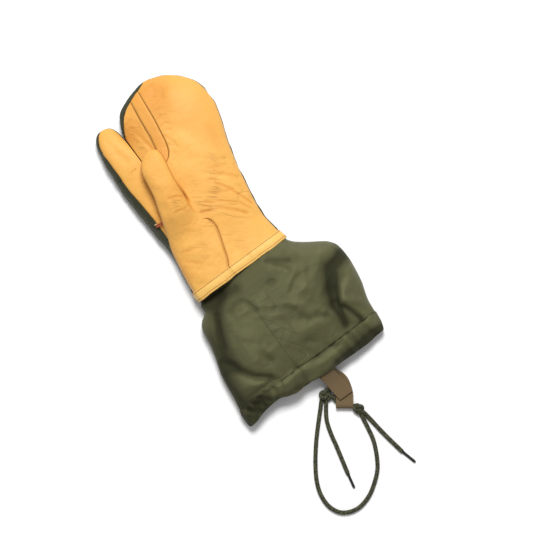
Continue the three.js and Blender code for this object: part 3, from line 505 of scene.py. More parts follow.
# %% Cord sizes and routes
CORD = 4.8
TIP = 3
GROUND = CORD / 2 + 0.05
KNOT_LEFT = (-10, -170, 4.9)
KNOT_RIGHT = (9.8, -203.5, 4.9)
BRIDGE_ROUTE = [
    (-10, -170, 4.2), (-5.8, -175.6, 4), (-4, -183.2, 3.6), (1, -189.8, 3.4), (6.3, -196.2, 3.4),
    (9.8, -203.5, 3.4),
]
LOOP_ROUTE = [
    (-10, -170, 3.4), (-17.2, -172.6, 2.6), (-24.4, -179.6, GROUND), (-35.5, -190.8, GROUND),
    (-49.2, -205.5, GROUND), (-64.9, -225.4, GROUND), (-74.8, -241.6, GROUND), (-79.6, -255.5, GROUND),
    (-79.9, -270.8, GROUND), (-74.5, -282.7, GROUND), (-66.4, -288.7, GROUND), (-54.3, -291.4, GROUND),
    (-39.4, -288.3, GROUND), (-26.1, -280.8, GROUND), (-13.2, -269.9, GROUND), (-4.7, -257.3, GROUND),
    (2.5, -241.5, GROUND), (5.6, -228, GROUND), (7.8, -215, 2.5), (9.8, -203.5, 3.4),
]
TAIL_LEFT_ROUTE = [
    (-10, -170, 3.6), (-14.2, -176.5, 3), (-20, -184.2, GROUND), (-25.8, -193.5, GROUND),
    (-30.3, -206.5, GROUND), (-33.6, -221, GROUND), (-37.6, -237, GROUND), (-41.8, -254, GROUND),
]
TAIL_RIGHT_ROUTE = [
    (9.8, -203.5, 4.6), (12.2, -210.5, 4), (13.8, -221.5, GROUND), (15.3, -235.9, GROUND),
    (17.3, -250, GROUND), (19.3, -262.3, GROUND), (20.6, -270, GROUND),
]
TIP_LEFT_ROUTE = [
    (-41.7, -253.5, 1.8), (-43.6, -262, 1.55), (-45.6, -271.5, 1.55),
]
TIP_RIGHT_ROUTE = [
    (20.5, -269.5, 1.8), (22.9, -279, 1.55), (25.4, -288.5, 1.55),
]

# %% Smooth routes
def follow(route, spacing_mm):
    """Centripetal Catmull-Rom curve through the points: knots spaced by the square root of each distance,
    then evenly spaced points along it, in millimetres."""
    points = np.array(route, float)
    before, after = 2 * points[0] - points[1], 2 * points[-1] - points[-2]
    p = np.concatenate([[before], points, [after]])
    gap = np.sqrt(np.linalg.norm(np.diff(p, axis=0), axis=1))
    t = np.concatenate([[0], np.cumsum(gap)])
    fine = np.linspace(t[1], t[-2], 40 * len(points))
    i = np.clip(np.searchsorted(t, fine, side="right") - 1, 1, len(p) - 3)

    def mix(a, b, ta, tb):
        share = ((fine - ta) / (tb - ta))[:, None]
        return a * (1 - share) + b * share

    a1 = mix(p[i - 1], p[i], t[i - 1], t[i])
    a2 = mix(p[i], p[i + 1], t[i], t[i + 1])
    a3 = mix(p[i + 1], p[i + 2], t[i + 1], t[i + 2])
    curve = mix(mix(a1, a2, t[i - 1], t[i + 1]), mix(a2, a3, t[i], t[i + 2]), t[i], t[i + 1])
    lengths = arc_lengths(curve)
    count = max(int(round(lengths[-1] / spacing_mm)), 4)
    even = np.linspace(0, lengths[-1], count + 1)
    return np.stack([np.interp(even, lengths, curve[:, axis]) for axis in range(3)], axis=1)


def carried_frames(centres):
    """Two directions across a curve at each point, turned as little as possible from one to the next."""
    tangents = np.gradient(centres, axis=0)
    tangents /= np.linalg.norm(tangents, axis=1)[:, None]
    side = np.cross(tangents[0], (0.03, 0.02, 1.0))
    sides = []
    for tangent in tangents:
        side = side - tangent * (side @ tangent)
        side = side / np.linalg.norm(side)
        sides.append(side)
    sides = np.array(sides)
    return tangents, sides, np.cross(tangents, sides)


# %% [markdown]
# ### The braid
# Eight strands wind round the core to the left and eight to the right, and each goes over one and under the
# next. The surface height of a strand is a rounded ridge across it, and the ridge that is on top alternates
# like a chessboard that is stretched along the cord.

# %% Braided tube
BRAID_STRANDS = 8
BRAID_PITCH = 9.0
BRAID_DEPTH = 0.16


def braid(around, along):
    """Height of the braid, -0.8..0.8: |cos a| or |cos b| less a half, where a and b are strands/2 times the
    turn plus or minus 2π·along/pitch. The ridge of a is on top where cos a·cos b is positive, that of b
    elsewhere."""
    a = BRAID_STRANDS * (around + 2 * np.pi * along / BRAID_PITCH) / 2
    b = BRAID_STRANDS * (around - 2 * np.pi * along / BRAID_PITCH) / 2
    over = np.cos(a) * np.cos(b)
    ridge_a, ridge_b = np.abs(np.cos(a)) - 0.5, np.abs(np.cos(b)) - 0.5
    return np.where(over > 0, ridge_a, ridge_b) * 1.6


def braided_tube(name, centres, diameter_mm, material, sides=26, braid_mm=BRAID_DEPTH, squeeze=None):
    """A tube round the centres whose radius follows the braid. squeeze scales the radius along it."""
    _, across, over = carried_frames(centres)
    turn = np.linspace(0, 2 * np.pi, sides + 1)[None, :]
    along = arc_lengths(centres)[:, None]
    height = braid(turn, along)
    radius = diameter_mm / 2 - braid_mm * (1 - height)
    if squeeze is not None:
        radius = radius * squeeze[:, None]
    ring = across[:, None, :] * np.cos(turn)[..., None] + over[:, None, :] * np.sin(turn)[..., None]
    points = centres[:, None, :] + ring * radius[..., None]
    points[..., 2] = np.maximum(points[..., 2], 0.02)
    uv = np.stack(np.broadcast_arrays(turn / (2 * np.pi) * diameter_mm * 3 * MM, along * MM), axis=-1)
    closed = close_ends(points)
    # Painted shade: the tint is higher, and the yarn darker, where the braid is low between the strands,
    # and lower on their crests.
    tint = 0.5 - 0.5 * np.concatenate([height[:1], height, height[-1:]])
    uv = np.concatenate([uv[:1], uv, uv[-1:]])
    return make_piece(name, [(closed, tint, uv)], material, merge=0.004)


# %% Cord pieces
CORD_SPACING = 0.55
cord_paths, cord_pieces = {}, {}
for cord_name, route in {"cord_bridge": BRIDGE_ROUTE, "cord_loop": LOOP_ROUTE,
                         "cord_tail_left": TAIL_LEFT_ROUTE, "cord_tail_right": TAIL_RIGHT_ROUTE}.items():
    path = follow(route, CORD_SPACING)
    cord_paths[cord_name] = path
    cord_pieces[cord_name] = braided_tube(cord_name + "_braid", path, CORD, braid_finish)
    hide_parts(cord_name)
    print(cord_name, "is", round(float(arc_lengths(path)[-1]), 1), "mm long")

# %% [markdown]
# ### The knots
# Each knot is an overhand knot drawn tight. A cord that goes three times round while it turns twice, on a
# small ring, is exactly that knot with its ends joined, so one closed curve gives its wraps.

# %% Knots
def knot_path(centre, size, tilt, turn):
    """Curve (R + r·cos 3t)·(cos 2t, sin 2t), r·sin 3t, tilted, turned and moved to the knot's middle."""
    t = np.linspace(0, 2 * np.pi, 96)
    ring, wrap = 3.1 * size, 1.95 * size
    reach = ring + wrap * np.cos(3 * t)
    flat = np.stack([reach * np.cos(2 * t), reach * np.sin(2 * t), wrap * 0.95 * np.sin(3 * t)], axis=1)
    tip = np.array(Matrix.Rotation(turn, 3, "Z") @ Matrix.Rotation(tilt, 3, "X"))
    return flat @ tip.T + np.array(centre)


for knot_name, centre, size, tilt, turn in [("knot_left", KNOT_LEFT, 1.12, 0.25, 0.5),
                                            ("knot_right", KNOT_RIGHT, 0.92, -0.3, 1.9)]:
    path = knot_path(centre, size, tilt, turn)
    path[:, 2] = np.maximum(path[:, 2], CORD / 2 * 0.93)
    braided_tube(knot_name + "_braid", path, CORD * 0.93, braid_finish)
    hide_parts(knot_name)

for tip_name, route in {"tip_left": TIP_LEFT_ROUTE, "tip_right": TIP_RIGHT_ROUTE}.items():
    path = follow(route, 0.5)
    share = np.linspace(0, 1, len(path))
    rounded = 0.35 + 0.65 * np.sqrt(np.clip((1 - share) / 0.12, 0, 1))
    taper = (1.25 - 0.25 * step(0, 0.25, share)) * rounded
    braided_tube(tip_name + "_sealed", path, TIP, tip_finish, sides=18, braid_mm=0.05,
                                  squeeze=taper)
    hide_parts(tip_name)

# %% [markdown]
# ## The form of the hand
# The palm is one soft dome from the wrist to the fingertips. The index finger has a lower dome of its own
# beside it. From the wrist to the crotch the two run into each other, and past the crotch they are two
# stalls with a slit between them. Both tables are in millimetres: the left and right edges, the crest and
# the underside.

# %% Tables of the hand
SEAM = 10.0
CROTCH = 152.0
SLIT = -20.0
HAND = Form("y left right crest sole", [
    (-5.5, -60.5, 58, 31, 0), (6.2, -59.8, 55.6, 30.4, 0), (17, -58.3, 54.2, 30.4, 0),
    (30, -55, 53, 31, 0), (50, -47.8, 55, 32, 0), (67, -40.6, 57.8, 32, 0), (85, -34.4, 60.9, 31.7, 0),
    (102, -29.3, 65, 31.2, 0), (120, -25.2, 70, 30.7, 0), (137, -21.5, 76.3, 30.1, 0),
    (150, -19.6, 80.4, 29.4, 0), (163, -19.5, 83.3, 28.8, 0), (177, -19.5, 83.1, 27.8, 0),
    (188, -19.2, 81.2, 26.2, 0), (197, -16.9, 77, 24.3, 0), (204.3, -13.4, 71.5, 22, 0),
    (211, -8.5, 64.8, 19.5, 0.4), (216.2, -0.4, 58, 17, 1.2), (220.5, 10.9, 49, 14.7, 2.8),
    (223.2, 20.2, 41, 12.8, 5), (225, 32, 32, 10.3, 9.7),
], tip=True)
FINGER = Form("y left right crest sole", [
    (-5.5, -60.8, 2.2, 28.5, 0), (12.5, -59.3, 0.3, 28.5, 0), (30, -57.2, -1.5, 28.6, 0),
    (47, -54.5, -5.2, 28.2, 0), (60, -54, -8.2, 27.6, 0), (80, -55.5, -11.9, 26.6, 0),
    (100, -56.3, -15, 26, 0), (120, -57, -17.8, 25.25, 0), (136, -57, -19.4, 25, 0),
    (148, -56.4, -20.5, 25, 0), (163, -55.3, -20.5, 24.75, 0), (180, -53.5, -20.9, 23.75, 0),
    (190, -51.5, -21.4, 22, 0), (197.1, -49.6, -22.4, 20, 0.3), (202.3, -47.4, -24.3, 17.75, 1.2),
    (205.9, -44.8, -27, 15.5, 3), (208, -41.5, -30.7, 13.75, 5), (209, -36.3, -36.3, 10.3, 9.7),
], tip=True)
TOP_POWER = 2.5
FINGER_POWER = 2.4
TINY = 1e-6

# %% [markdown]
# ### The leather's creases
# Where the hand closes, the palm leather has kept fine creases: a fan from the base of the thumb to the
# outer side, ripples above it, soft puckers beside the seams. Each is a short list of points with a width
# and a depth.

# %% Creases of the palm
PALM_FOLDS = [
    (1.6, -0.75, [(0, 72), (8, 68.5), (16, 64), (24, 57), (31, 50), (40, 42)]),
    (1.3, -0.5, [(5, 76), (14, 69), (24, 60), (32, 52), (37, 44)]),
    (1.2, -0.5, [(10, 79), (22, 71), (33, 62), (40, 55), (46, 44)]),
    (1.5, -0.6, [(31, 88), (37, 80), (42, 70), (46, 60), (50, 48)]),
    (1.3, -0.5, [(37, 99), (43, 92), (50, 86), (55, 80)]),
    (1.1, -0.35, [(20, 84), (29, 78), (36, 74), (44, 72), (52, 68)]),
    (1.1, -0.35, [(34, 106), (44, 101), (54, 98)]), (1, -0.3, [(26, 96), (36, 92), (47, 93)]),
    (2.4, 0.5, [(12, 67), (24, 56), (34, 46)]), (2.6, 0.45, [(38, 90), (46, 74), (50, 60)]),
    (2, -0.5, [(-13, 196), (-12, 186), (-11, 175)]), (4.5, -0.7, [(-37, 193), (-36, 180), (-33, 164)]),
    (2.2, -0.7, [(-9, 192), (-6, 180), (-3, 165), (-2, 156)]),
    (2.6, 0.6, [(-11, 192), (-8, 176), (-6, 160)]), (1.2, -0.45, [(-16, 200), (-9, 198), (-2, 199)]),
    (1.2, -0.45, [(-18, 193), (-12, 191), (-6, 189)]), (1.2, -0.35, [(-17, 186), (-11, 184), (-7, 181)]),
    (1, -0.35, [(23, 197), (28, 199), (34, 198)]), (1, -0.35, [(21, 190), (27, 191), (33, 189)]),
    (1, -0.35, [(20, 182), (26, 183), (32, 181)]), (1, -0.3, [(18.5, 174), (25, 174), (30, 171)]),
    (1, -0.3, [(17, 167), (22, 167), (27, 164)]), (1.6, -0.4, [(17, 163), (21, 152), (22, 144)]),
    (9, 0.8, [(40, 195), (48, 180)]), (8, -0.7, [(20, 208), (34, 205), (40, 200)]),
    (7, -0.25, [(62, 140), (58, 120)]), (6, 0.5, [(30, 150), (34, 128)]),
]


def span(form, y):
    """Middle and half width of a form at y. The half width stays above nought at a tip."""
    left, right = form("left", y), form("right", y)
    return (left + right) / 2, np.maximum((right - left) / 2, TINY)


def seam_height(crest, sole):
    """Height of the side seam: the same all along, but kept between the sole and the crest."""
    return np.clip(SEAM, sole + 0.3, crest - 0.3)


def dome(form, x, y, power=TOP_POWER):
    """Height of a form's top: waist + (crest - waist)·(1 - |t|^p)^(1/p), where t is -1 at the left edge and
    1 at the right one. Outside its edges it falls away, so that a union with a neighbour ignores it."""
    crest, sole = form("crest", y), form("sole", y)
    waist = seam_height(crest, sole)
    middle, half_width = span(form, y)
    t = np.abs((x - middle) / half_width)
    return waist + (crest - waist) * arch(t, power) - np.maximum(t - 1, 0) * half_width


def edge_fade(form, x, y):
    """One on the crest and nought at the side seams: (1 - |t|^2.5)^0.7."""
    middle, half_width = span(form, y)
    t = np.abs((x - middle) / half_width)
    return np.clip(1 - np.minimum(t, 1) ** 2.5, 0, 1) ** 0.7


def merged(a, b, soft):
    """Smooth union of two heights: the larger one, rounded where they differ by less than soft."""
    overlap = np.maximum(soft - np.abs(a - b), 0) / soft
    return np.maximum(a, b) + overlap ** 2 * soft / 4


# %% [markdown]
# ### The thumb's outline
# The thumb lies on the palm. Its leather begins at the wrist as the heel of the hand, follows the hand's
# surface, and then rises off it into a tube. One table holds its left and right edges all the way, and
# where it is a tube its sole and crest.

# %% Table of the heel and thumb
THUMB = Form("y left right sole crest", [
    (-5.5, -60.8, -14.2, 9, 26), (3, -60, -13, 9, 26), (15, -59, -7.2, 9, 26), (28, -57.2, -3, 9, 27),
    (40, -55.2, 1, 9, 29), (52, -52.9, 3.6, 9, 32), (58, -51.3, 3, 10, 34.5), (62, -50, 1.4, 10.5, 36),
    (66, -48.4, -1.4, 11, 37.8), (72, -46, -3.8, 12.5, 40.2), (80, -43.3, -4.8, 15.5, 42.8),
    (88, -41, -4.6, 19, 44.8), (95, -38.8, -4, 22.5, 46), (104, -35.8, -3.3, 27, 47.2),
    (115, -32.2, -2.2, 30.6, 48), (128, -29.8, -0.3, 31.6, 48.3), (140, -28, 2, 31.6, 48),
    (147, -25.4, 2.8, 31.7, 47), (151.6, -22.2, 2.4, 32, 45.8), (155.4, -18.2, 0.7, 32.8, 43.9),
    (158, -13.9, -3, 34.4, 41.8), (159.2, -8.5, -8.5, 38, 38.6),
], tip=True)
THUMB_POWER = 2.4
PALM_CLEARANCE = 0.9
SLIT_OVERLAP = 8.0


def palm_height(x, y):
    """Height of the palm's leather: the two domes as one smooth union below the crotch, each by itself
    above it, with the creases and a soft unevenness that fade at the side seams. The stalls press against
    each other up to about two thirds of the slit, so there each dome is cut short by its neighbour before
    it comes down to its seam. Under the thumb the leather gives way."""
    pressed_together = SLIT_OVERLAP * (1 - step(156, 192, y))
    hand = dome(HAND, x + pressed_together * np.clip((60 - x) / 80, 0, 1), y)
    finger = dome(FINGER, x - pressed_together * np.clip((x + 56) / 36, 0, 1), y, FINGER_POWER)
    soft = 2.0 + 0.11 * np.clip(CROTCH - y, 0, 200)
    apart = np.where(x < SLIT, finger, hand)
    height = np.where(y < CROTCH, merged(hand, finger, soft), apart)
    fade = np.maximum(edge_fade(HAND, x, y), np.where(x < SLIT + 6, edge_fade(FINGER, x, y), 0))
    uneven = 0.35 * ripple(x, y, 34, 3) + 0.10 * ripple(x, y, 11, 5)
    uneven = uneven + 0.28 * creases(x, y, 26, 21, 0.07, 0.6)
    in_hand = step(30, 60, y) * (1 - step(120, 150, y)) * step(14, 34, x)
    uneven = uneven + 0.22 * in_hand * creases(x, y, 9, 31, 0.16, 0.45)
    height = height + fade * (folds(PALM_FOLDS, x, y) + uneven)
    middle, half_width = span(THUMB, y)
    under = np.clip(1 - np.abs((x - middle) / (half_width + 2)) ** 6, 0, 1)
    pressed = THUMB("sole", y) - PALM_CLEARANCE
    share = under * step(84, 100, y) * (1 - step(160, 163, y))
    return height - share * np.maximum(height - pressed, 0)

# %% Where the leather is creased, and where shade is painted on it
WRINKLED_PLACES = [
    (30, 66, 30, 0.9), (46, 96, 22, 0.9), (-6, 190, 15, 0.9), (25, 186, 11, 0.8), (-14, 95, 13, 0.7),
    (-34, 38, 17, 0.55), (-13, 166, 10, 0.6), (25, 150, 12, 0.5), (-38, 128, 12, 0.45), (10, 78, 14, 0.7),
    (26, 28, 18, 0.35), (34, 208, 16, 0.4),
]
# Broad places of painted shade on the leather, each (x, y, radius, strength).
DARKER_PLACES = [
    (34, 208, 28, 0.9), (-6, 185, 16, 0.75), (28, 186, 18, 0.35), (52, 172, 26, 0.25),
    (-52, 30, 14, 0.25), (60, 150, 18, 0.15), (-14, 108, 14, 0.25), (-44, 168, 22, 0.35),
    (-8, 150, 12, 0.25),
]


def spots(places, x, y):
    """Sum of soft round spots, each (x, y, radius, strength)."""
    return sum(strength * np.exp(-((x - px) ** 2 + (y - py) ** 2) / radius ** 2)
               for px, py, radius, strength in places)


def wrinkled(x, y):
    """How creased the leather is: a little everywhere, and most where the hand closes."""
    return np.clip(0.10 + spots(WRINKLED_PLACES, x, y), 0, 1)


def crease_painted_shading(x, y):
    """Painted shade in the creases and painted highlight on the high places beside them, on top of the
    broad places of painted shade.
    """
    return np.clip(-1.5 * folds(PALM_FOLDS, x, y), -0.15, 0.9) + spots(DARKER_PLACES, x, y) - 0.12


# %% [markdown]
# ## Rows and columns
# A sheet's rows stand closer together at a round tip. Its columns stand closer together where the surface
# turns down to a side seam, which a cosine does by itself.

# %% Spacing
def rows_to_tip(start, tip, count):
    """Rows from start to the tip: tip - (tip - start)·(1 - s)^1.6, which sets them close together there."""
    s = np.linspace(0, 1, count)
    return tip - (tip - start) * (1 - s) ** 1.6


def across(left, right, count, left_edge=True, right_edge=True):
    """Columns between two edges. An edge that is a side seam has its columns close together."""
    s = np.linspace(0, 1, count)
    if left_edge and right_edge:
        s = 0.5 - 0.5 * np.sign(np.cos(np.pi * s)) * np.abs(np.cos(np.pi * s)) ** 0.8
    elif right_edge:
        s = np.sin(np.pi / 2 * s) ** 0.9
    elif left_edge:
        s = 1 - np.sin(np.pi / 2 * (1 - s)) ** 0.9
    left, right = np.asarray(left)[:, None], np.asarray(right)[:, None]
    return left + (right - left) * s[None, :]


def on_palm(x, y, lift=0.0):
    """Grid of points on the palm's leather, raised by lift."""
    y = like_grid(y, x) if y.ndim == 1 else y
    return np.stack([x, y, palm_height(x, y) + lift], axis=-1)


SEAM_SHADE_WIDTH = 2.2


def seam_groove(distance, width=1.3, depth=0.55):
    """How far a surface dips at a seam: depth·exp(-(d/width)²)."""
    return -depth * bell(distance, width)


def seam_tint(tint, distance, reach=0.55):
    """The tint with a seam's dirt: it rises towards the seam and passes one in the seam itself."""
    near = bell(distance, SEAM_SHADE_WIDTH)
    return np.minimum(tint, 1) * (1 - near) + 0.45 * near + 1.15 * bell(distance, reach)


# %% [markdown]
# ## The seams across the palm
# A welt, a strip 12 mm wide, comes down from the fingertips and turns under the thumb. The palm is on its
# outer side and the finger panel on its inner side. Another seam joins the heel to the palm from the wrist
# up to the root of the thumb. The leather's left edge stops short of the side on the index finger and at
# the fingertips, where a band of the olive back shows.

# %% Seam lines
OUTER_LINE = [
    (137.3, -4), (138.2, 1), (140, 4.6), (142.5, 7.4), (146, 10.2), (150, 12), (157, 14), (170, 16.2),
    (185, 18.6), (200, 20.2), (218, 22), (225, 22.6),
]
INNER_LINE = [
    (152, 0.3), (160, 1.6), (170, 3.5), (185, 5.2), (200, 7), (215, 9.2), (225, 10.6),
]
HEEL_LINE = [
    (-5.5, -14.2), (3, -13), (15, -7.2), (28, -3), (40, 1), (52, 3.6), (58, 3), (62, 1.4),
]
INDEX_EDGE = [
    (59, -53.5), (63, -49.3), (68, -46.9), (90, -47), (120, -48.5), (140, -50), (180, -49.8),
    (192, -48.9), (199, -46.4), (204, -43.4), (207.5, -39.4), (209, -36.3),
]
STALL_EDGE = [
    (150, -19.5), (184, -19.3), (189, -18.2), (198, -13.2), (205, -7.9), (210, -1.8), (214.3, 6.2),
    (218.6, 16.6), (221.6, 26.8), (225, 34),
]


def with_wall(points, tint, side):
    """Adds a wall at the slit's side: columns that go straight down from the sheet's edge to the side
    seam."""
    edge = points[:, :1] if side == "left" else points[:, -1:]
    drop = np.linspace(0, 1, 6)[None, 1:, None]
    low = np.concatenate([edge[..., :2], np.minimum(edge[..., 2:], SEAM - 0.5)], axis=-1)
    wall = edge + (low - edge) * drop
    shade = np.broadcast_to(tint[:, :1] if side == "left" else tint[:, -1:], wall.shape[:2])
    if side == "left":
        return np.concatenate([wall[:, ::-1], points], axis=1), np.concatenate([shade, tint], axis=1)
    return np.concatenate([points, wall], axis=1), np.concatenate([tint, shade], axis=1)


def along_line(points, y):
    """x of a seam line at height y."""
    table = np.array(points)
    return smooth(table[:, 0], table[:, 1], y)


# %% [markdown]
# ## The palm
# The palm's leather has two sheets. One runs from the heel seam and then the welt to the outer side. The
# other covers the index finger. Below the crotch they meet under the thumb, along the line of the slit, and
# share its points there. The wall is a millimetre and a half thick.

# %% Palm leather
PALM_ROWS = 210
WALL = 1.5
WRIST, FINGERTIPS = -5.5, 225.0
WELT_START, HEEL_TOP = 137.3, 62
AWAY = 99
y_palm = rows_to_tip(WRIST, FINGERTIPS, PALM_ROWS)
crotch_row = np.searchsorted(y_palm, CROTCH)
y_palm[crotch_row] = CROTCH
palm_left = np.where(y_palm < HEEL_TOP, along_line(HEEL_LINE, y_palm),
                     np.where(y_palm < WELT_START, SLIT, along_line(OUTER_LINE, y_palm)))
heel_end_x = HEEL_LINE[-1][1]
to_slit = heel_end_x + (SLIT - heel_end_x) * step(HEEL_TOP, HEEL_TOP + 10, y_palm)
palm_left = np.where((y_palm >= HEEL_TOP) & (y_palm < HEEL_TOP + 10), to_slit, palm_left)
palm_left = np.maximum(palm_left, np.where(y_palm > 190, along_line(STALL_EDGE, y_palm), -AWAY))
palm_left = np.minimum(palm_left, HAND("right", y_palm))
x_palm = across(palm_left, HAND("right", y_palm), 120, left_edge=False)
palm_points = on_palm(x_palm, y_palm)
grid_y = like_grid(y_palm, x_palm)
from_line = np.where(grid_y > WELT_START, x_palm - palm_left[:, None], AWAY)
from_heel = np.where(grid_y < HEEL_TOP, x_palm - palm_left[:, None], AWAY)
palm_points[..., 2] += seam_groove(from_line, 1.1, 0.4) + seam_groove(from_heel, 1.0, 0.4)
# The palm's tint: painted shade in the creases and on broad places, painted highlight beside the creases,
# and dirt at the seams.
palm_tint = seam_tint(crease_painted_shading(x_palm, grid_y), np.minimum(from_line, from_heel), 0.3)

# %% The index finger's leather
y_index = np.concatenate([y_palm[(y_palm > 60) & (y_palm < 198)], rows_to_tip(198.5, 209.0, 22)])
index_left = np.minimum(along_line(INDEX_EDGE, y_index), FINGER("right", y_index))
index_right = np.where(y_index < CROTCH, SLIT, FINGER("right", y_index))
index_right = np.where(y_index <= y_palm[crotch_row - 1], SLIT, np.maximum(index_right, index_left))
x_index = across(index_left, index_right, 54, left_edge=False)
index_points = on_palm(x_index, y_index)
grid_y = like_grid(y_index, x_index)
index_points[..., 2] += seam_groove(x_index - index_left[:, None], 1.2, 0.5) * step(70, 80, grid_y)
index_tint = 0.18 * bell(x_index - index_left[:, None], 3)

above = y_index >= CROTCH
index_upper, upper_tint = with_wall(index_points[above], index_tint[above], "right")
below = y_index <= CROTCH
palm = make_piece("palm_skin", [(palm_points, palm_tint), (index_points[below], index_tint[below]),
                                (index_upper, upper_tint)], palm_finish, wall=WALL,
                  wrinkle=wrinkled)
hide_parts("palm_leather")

# %% [markdown]
# ## The welt and the finger panel
# They use the same height as the palm, so the three meet along their seams. The welt stands up a little in
# the middle, and each edge dips into its seam.

# %% Welt and panel
y_welt = rows_to_tip(138.3, 222.3, 92)
welt_left = np.where(y_welt < CROTCH, SLIT + 0.5, along_line(INNER_LINE, y_welt) + 0.15)
welt_left = np.where((y_welt >= CROTCH) & (y_welt < CROTCH + 3), SLIT + (welt_left - SLIT)
                     * step(CROTCH, CROTCH + 3, y_welt), welt_left)
welt_left = np.maximum(welt_left, along_line(STALL_EDGE, y_welt))
welt_right = np.maximum(along_line(OUTER_LINE, y_welt) - 0.15, welt_left)
x_welt = across(welt_left, welt_right, 30, left_edge=False, right_edge=False)
welt_points = on_palm(x_welt, y_welt)
share = (x_welt - welt_left[:, None]) / np.maximum((welt_right - welt_left)[:, None], TINY)
grid_y = like_grid(y_welt, x_welt)
crown = 0.55 * (1 - (2 * share - 1) ** 4) * step(0, 4, welt_right - welt_left)[:, None]
welt_points[..., 2] += crown - 0.25 + 0.10 * creases(x_welt, grid_y, 7, 55, 0.2, 0.4)
edge = np.minimum(share, 1 - share) * (welt_right - welt_left)[:, None]
welt_tint = seam_tint(0.75 + 0 * share, edge, 0.4)
welt = make_piece("welt_skin", [(welt_points, welt_tint)], palm_finish, wall=WALL,
                  wrinkle=wrinkled)
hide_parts("palm_welt")

# %% Finger panel
y_panel = rows_to_tip(149.6, 217.4, 76)
panel_left = np.maximum(np.where(y_panel < 190, SLIT + 0.5, SLIT), along_line(STALL_EDGE, y_panel))
panel_right = np.maximum(along_line(INNER_LINE, np.maximum(y_panel, CROTCH)) - 0.15, panel_left)
x_panel = across(panel_left, panel_right, 40, right_edge=False)
panel_points = on_palm(x_panel, np.maximum(y_panel, CROTCH))
panel_points[..., 1] = y_panel[:, None]
grid_y = like_grid(y_panel, x_panel)
from_line = panel_right[:, None] - x_panel
panel_points[..., 2] += seam_groove(from_line, 1.1, 0.4)
# The panel's tint: painted shade and highlight from the creases, a slightly deeper tone, and dirt at the
# seam.
panel_tint = seam_tint(crease_painted_shading(x_panel, grid_y) + 0.15, from_line, 0.4)
panel_points, panel_tint = with_wall(panel_points, panel_tint, "left")
panel = make_piece("finger_panel_skin", [(panel_points, panel_tint)], palm_finish, wall=WALL,
                   wrinkle=wrinkled)
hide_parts("finger_panel")

# %% [markdown]
# ## The heel and the thumb
# The upper sheet follows the palm at the wrist and becomes the upper half of a tube at the thumb. A soft
# step blends the two heights, and both use the same left and right edges. The lower sheet is the tube's
# sole, which comes out of the hand at the thumb's root. Both sides of the tube carry a seam.

# %% Heel and thumb
THUMB_FOLDS = [
    (1.6, -0.7, [(-20, 104), (-12, 101), (-6, 97)]), (1.5, -0.5, [(-22, 88), (-13, 85), (-5, 87)]),
    (1.4, -0.5, [(-43, 49), (-35, 45), (-27, 43)]), (1.2, -0.4, [(-38, 30), (-30, 27), (-22, 28)]),
    (1.2, -0.35, [(-46, 38), (-40, 33), (-33, 31)]), (6, 1, [(-30, 70), (-24, 95), (-18, 120)]),
    (5, -0.8, [(-8, 78), (-14, 60), (-24, 44)]), (4.5, -0.7, [(-42, 64), (-34, 84), (-30, 100)]),
    (1.2, -0.4, [(-2, 72), (-8, 66), (-14, 64)]), (1, -0.3, [(-1, 64), (-9, 58), (-16, 55)]),
    (1.2, -0.35, [(-28, 72), (-20, 68), (-12, 70)]),
]
THUMB_RISE = (50, 90)
THUMB_TIP = 159.2
HEEL_SEAM_END = 66
y_thumb = rows_to_tip(WRIST, THUMB_TIP, 190)
rise = step(*THUMB_RISE, y_thumb)[:, None]


def thumb_relief(x, y):
    """Creases, broad dents and fine unevenness of the heel and thumb."""
    return (folds(THUMB_FOLDS, x, y) + 0.3 * ripple(x, y, 24, 8) + 0.08 * ripple(x, y, 8, 9)
            + 0.22 * creases(x, y, 20, 41, 0.08, 0.7))


def turned_down(distance, reach=5.0):
    """One at the side seam and nought past the reach: 1 - sqrt(1 - (1 - d/reach)²), a quarter round."""
    s = np.clip(np.asarray(distance) / reach, 0, 1)
    return 1 - np.sqrt(np.maximum(1 - (1 - s) ** 2, 0))

# %% The thumb's upper sheet
left, right = THUMB("left", y_thumb), THUMB("right", y_thumb)
x_thumb = across(left, right, 84)
grid_y = like_grid(y_thumb, x_thumb)
t = np.abs((x_thumb - (left + right)[:, None] / 2) / np.maximum((right - left)[:, None] / 2, TINY))
crest = THUMB("crest", grid_y)
waist = (THUMB("sole", grid_y) + crest) / 2
tube_z = waist + (crest - waist) * arch(t, THUMB_POWER)
on_hand = palm_height(x_thumb, grid_y) + 0.5
fade = np.minimum(1, 4 * (1 - np.minimum(t, 1)))
top_z = on_hand + (tube_z - on_hand) * rise + thumb_relief(x_thumb, grid_y) * fade
heel_edge = np.where(grid_y < HEEL_SEAM_END, right[:, None] - x_thumb, AWAY)
top_z += seam_groove(heel_edge, 1.0, 0.7)
side_height = np.maximum(dome(FINGER, x_thumb, grid_y, FINGER_POWER), SEAM - 0.3) + 0.3
turned = turned_down(x_thumb - left[:, None]) * (1 - step(56, HEEL_SEAM_END, grid_y))
top_z -= turned * np.maximum(top_z - side_height, 0)
thumb_points = np.stack([x_thumb, grid_y, top_z], axis=-1)
# Painted shade in the thumb's creases and painted highlight beside them, with the broad places of painted
# shade and the heel seam's dirt.
thumb_tint = np.clip(-0.9 * folds(THUMB_FOLDS[:5], x_thumb, grid_y), -0.1, 0.7) - 0.05
thumb_tint = seam_tint(thumb_tint + spots(DARKER_PLACES, x_thumb, grid_y), heel_edge, 0.3)
# A dark line in each side seam of the tube, and painted shade on the tube's sides where they turn down.
side_seam = bell(1 - np.minimum(t, 1), 0.045) * step(86, 94, grid_y)
thumb_tint = thumb_tint + (0.35 * bell(1 - np.minimum(t, 1), 0.10) + 1.3 * side_seam) * rise

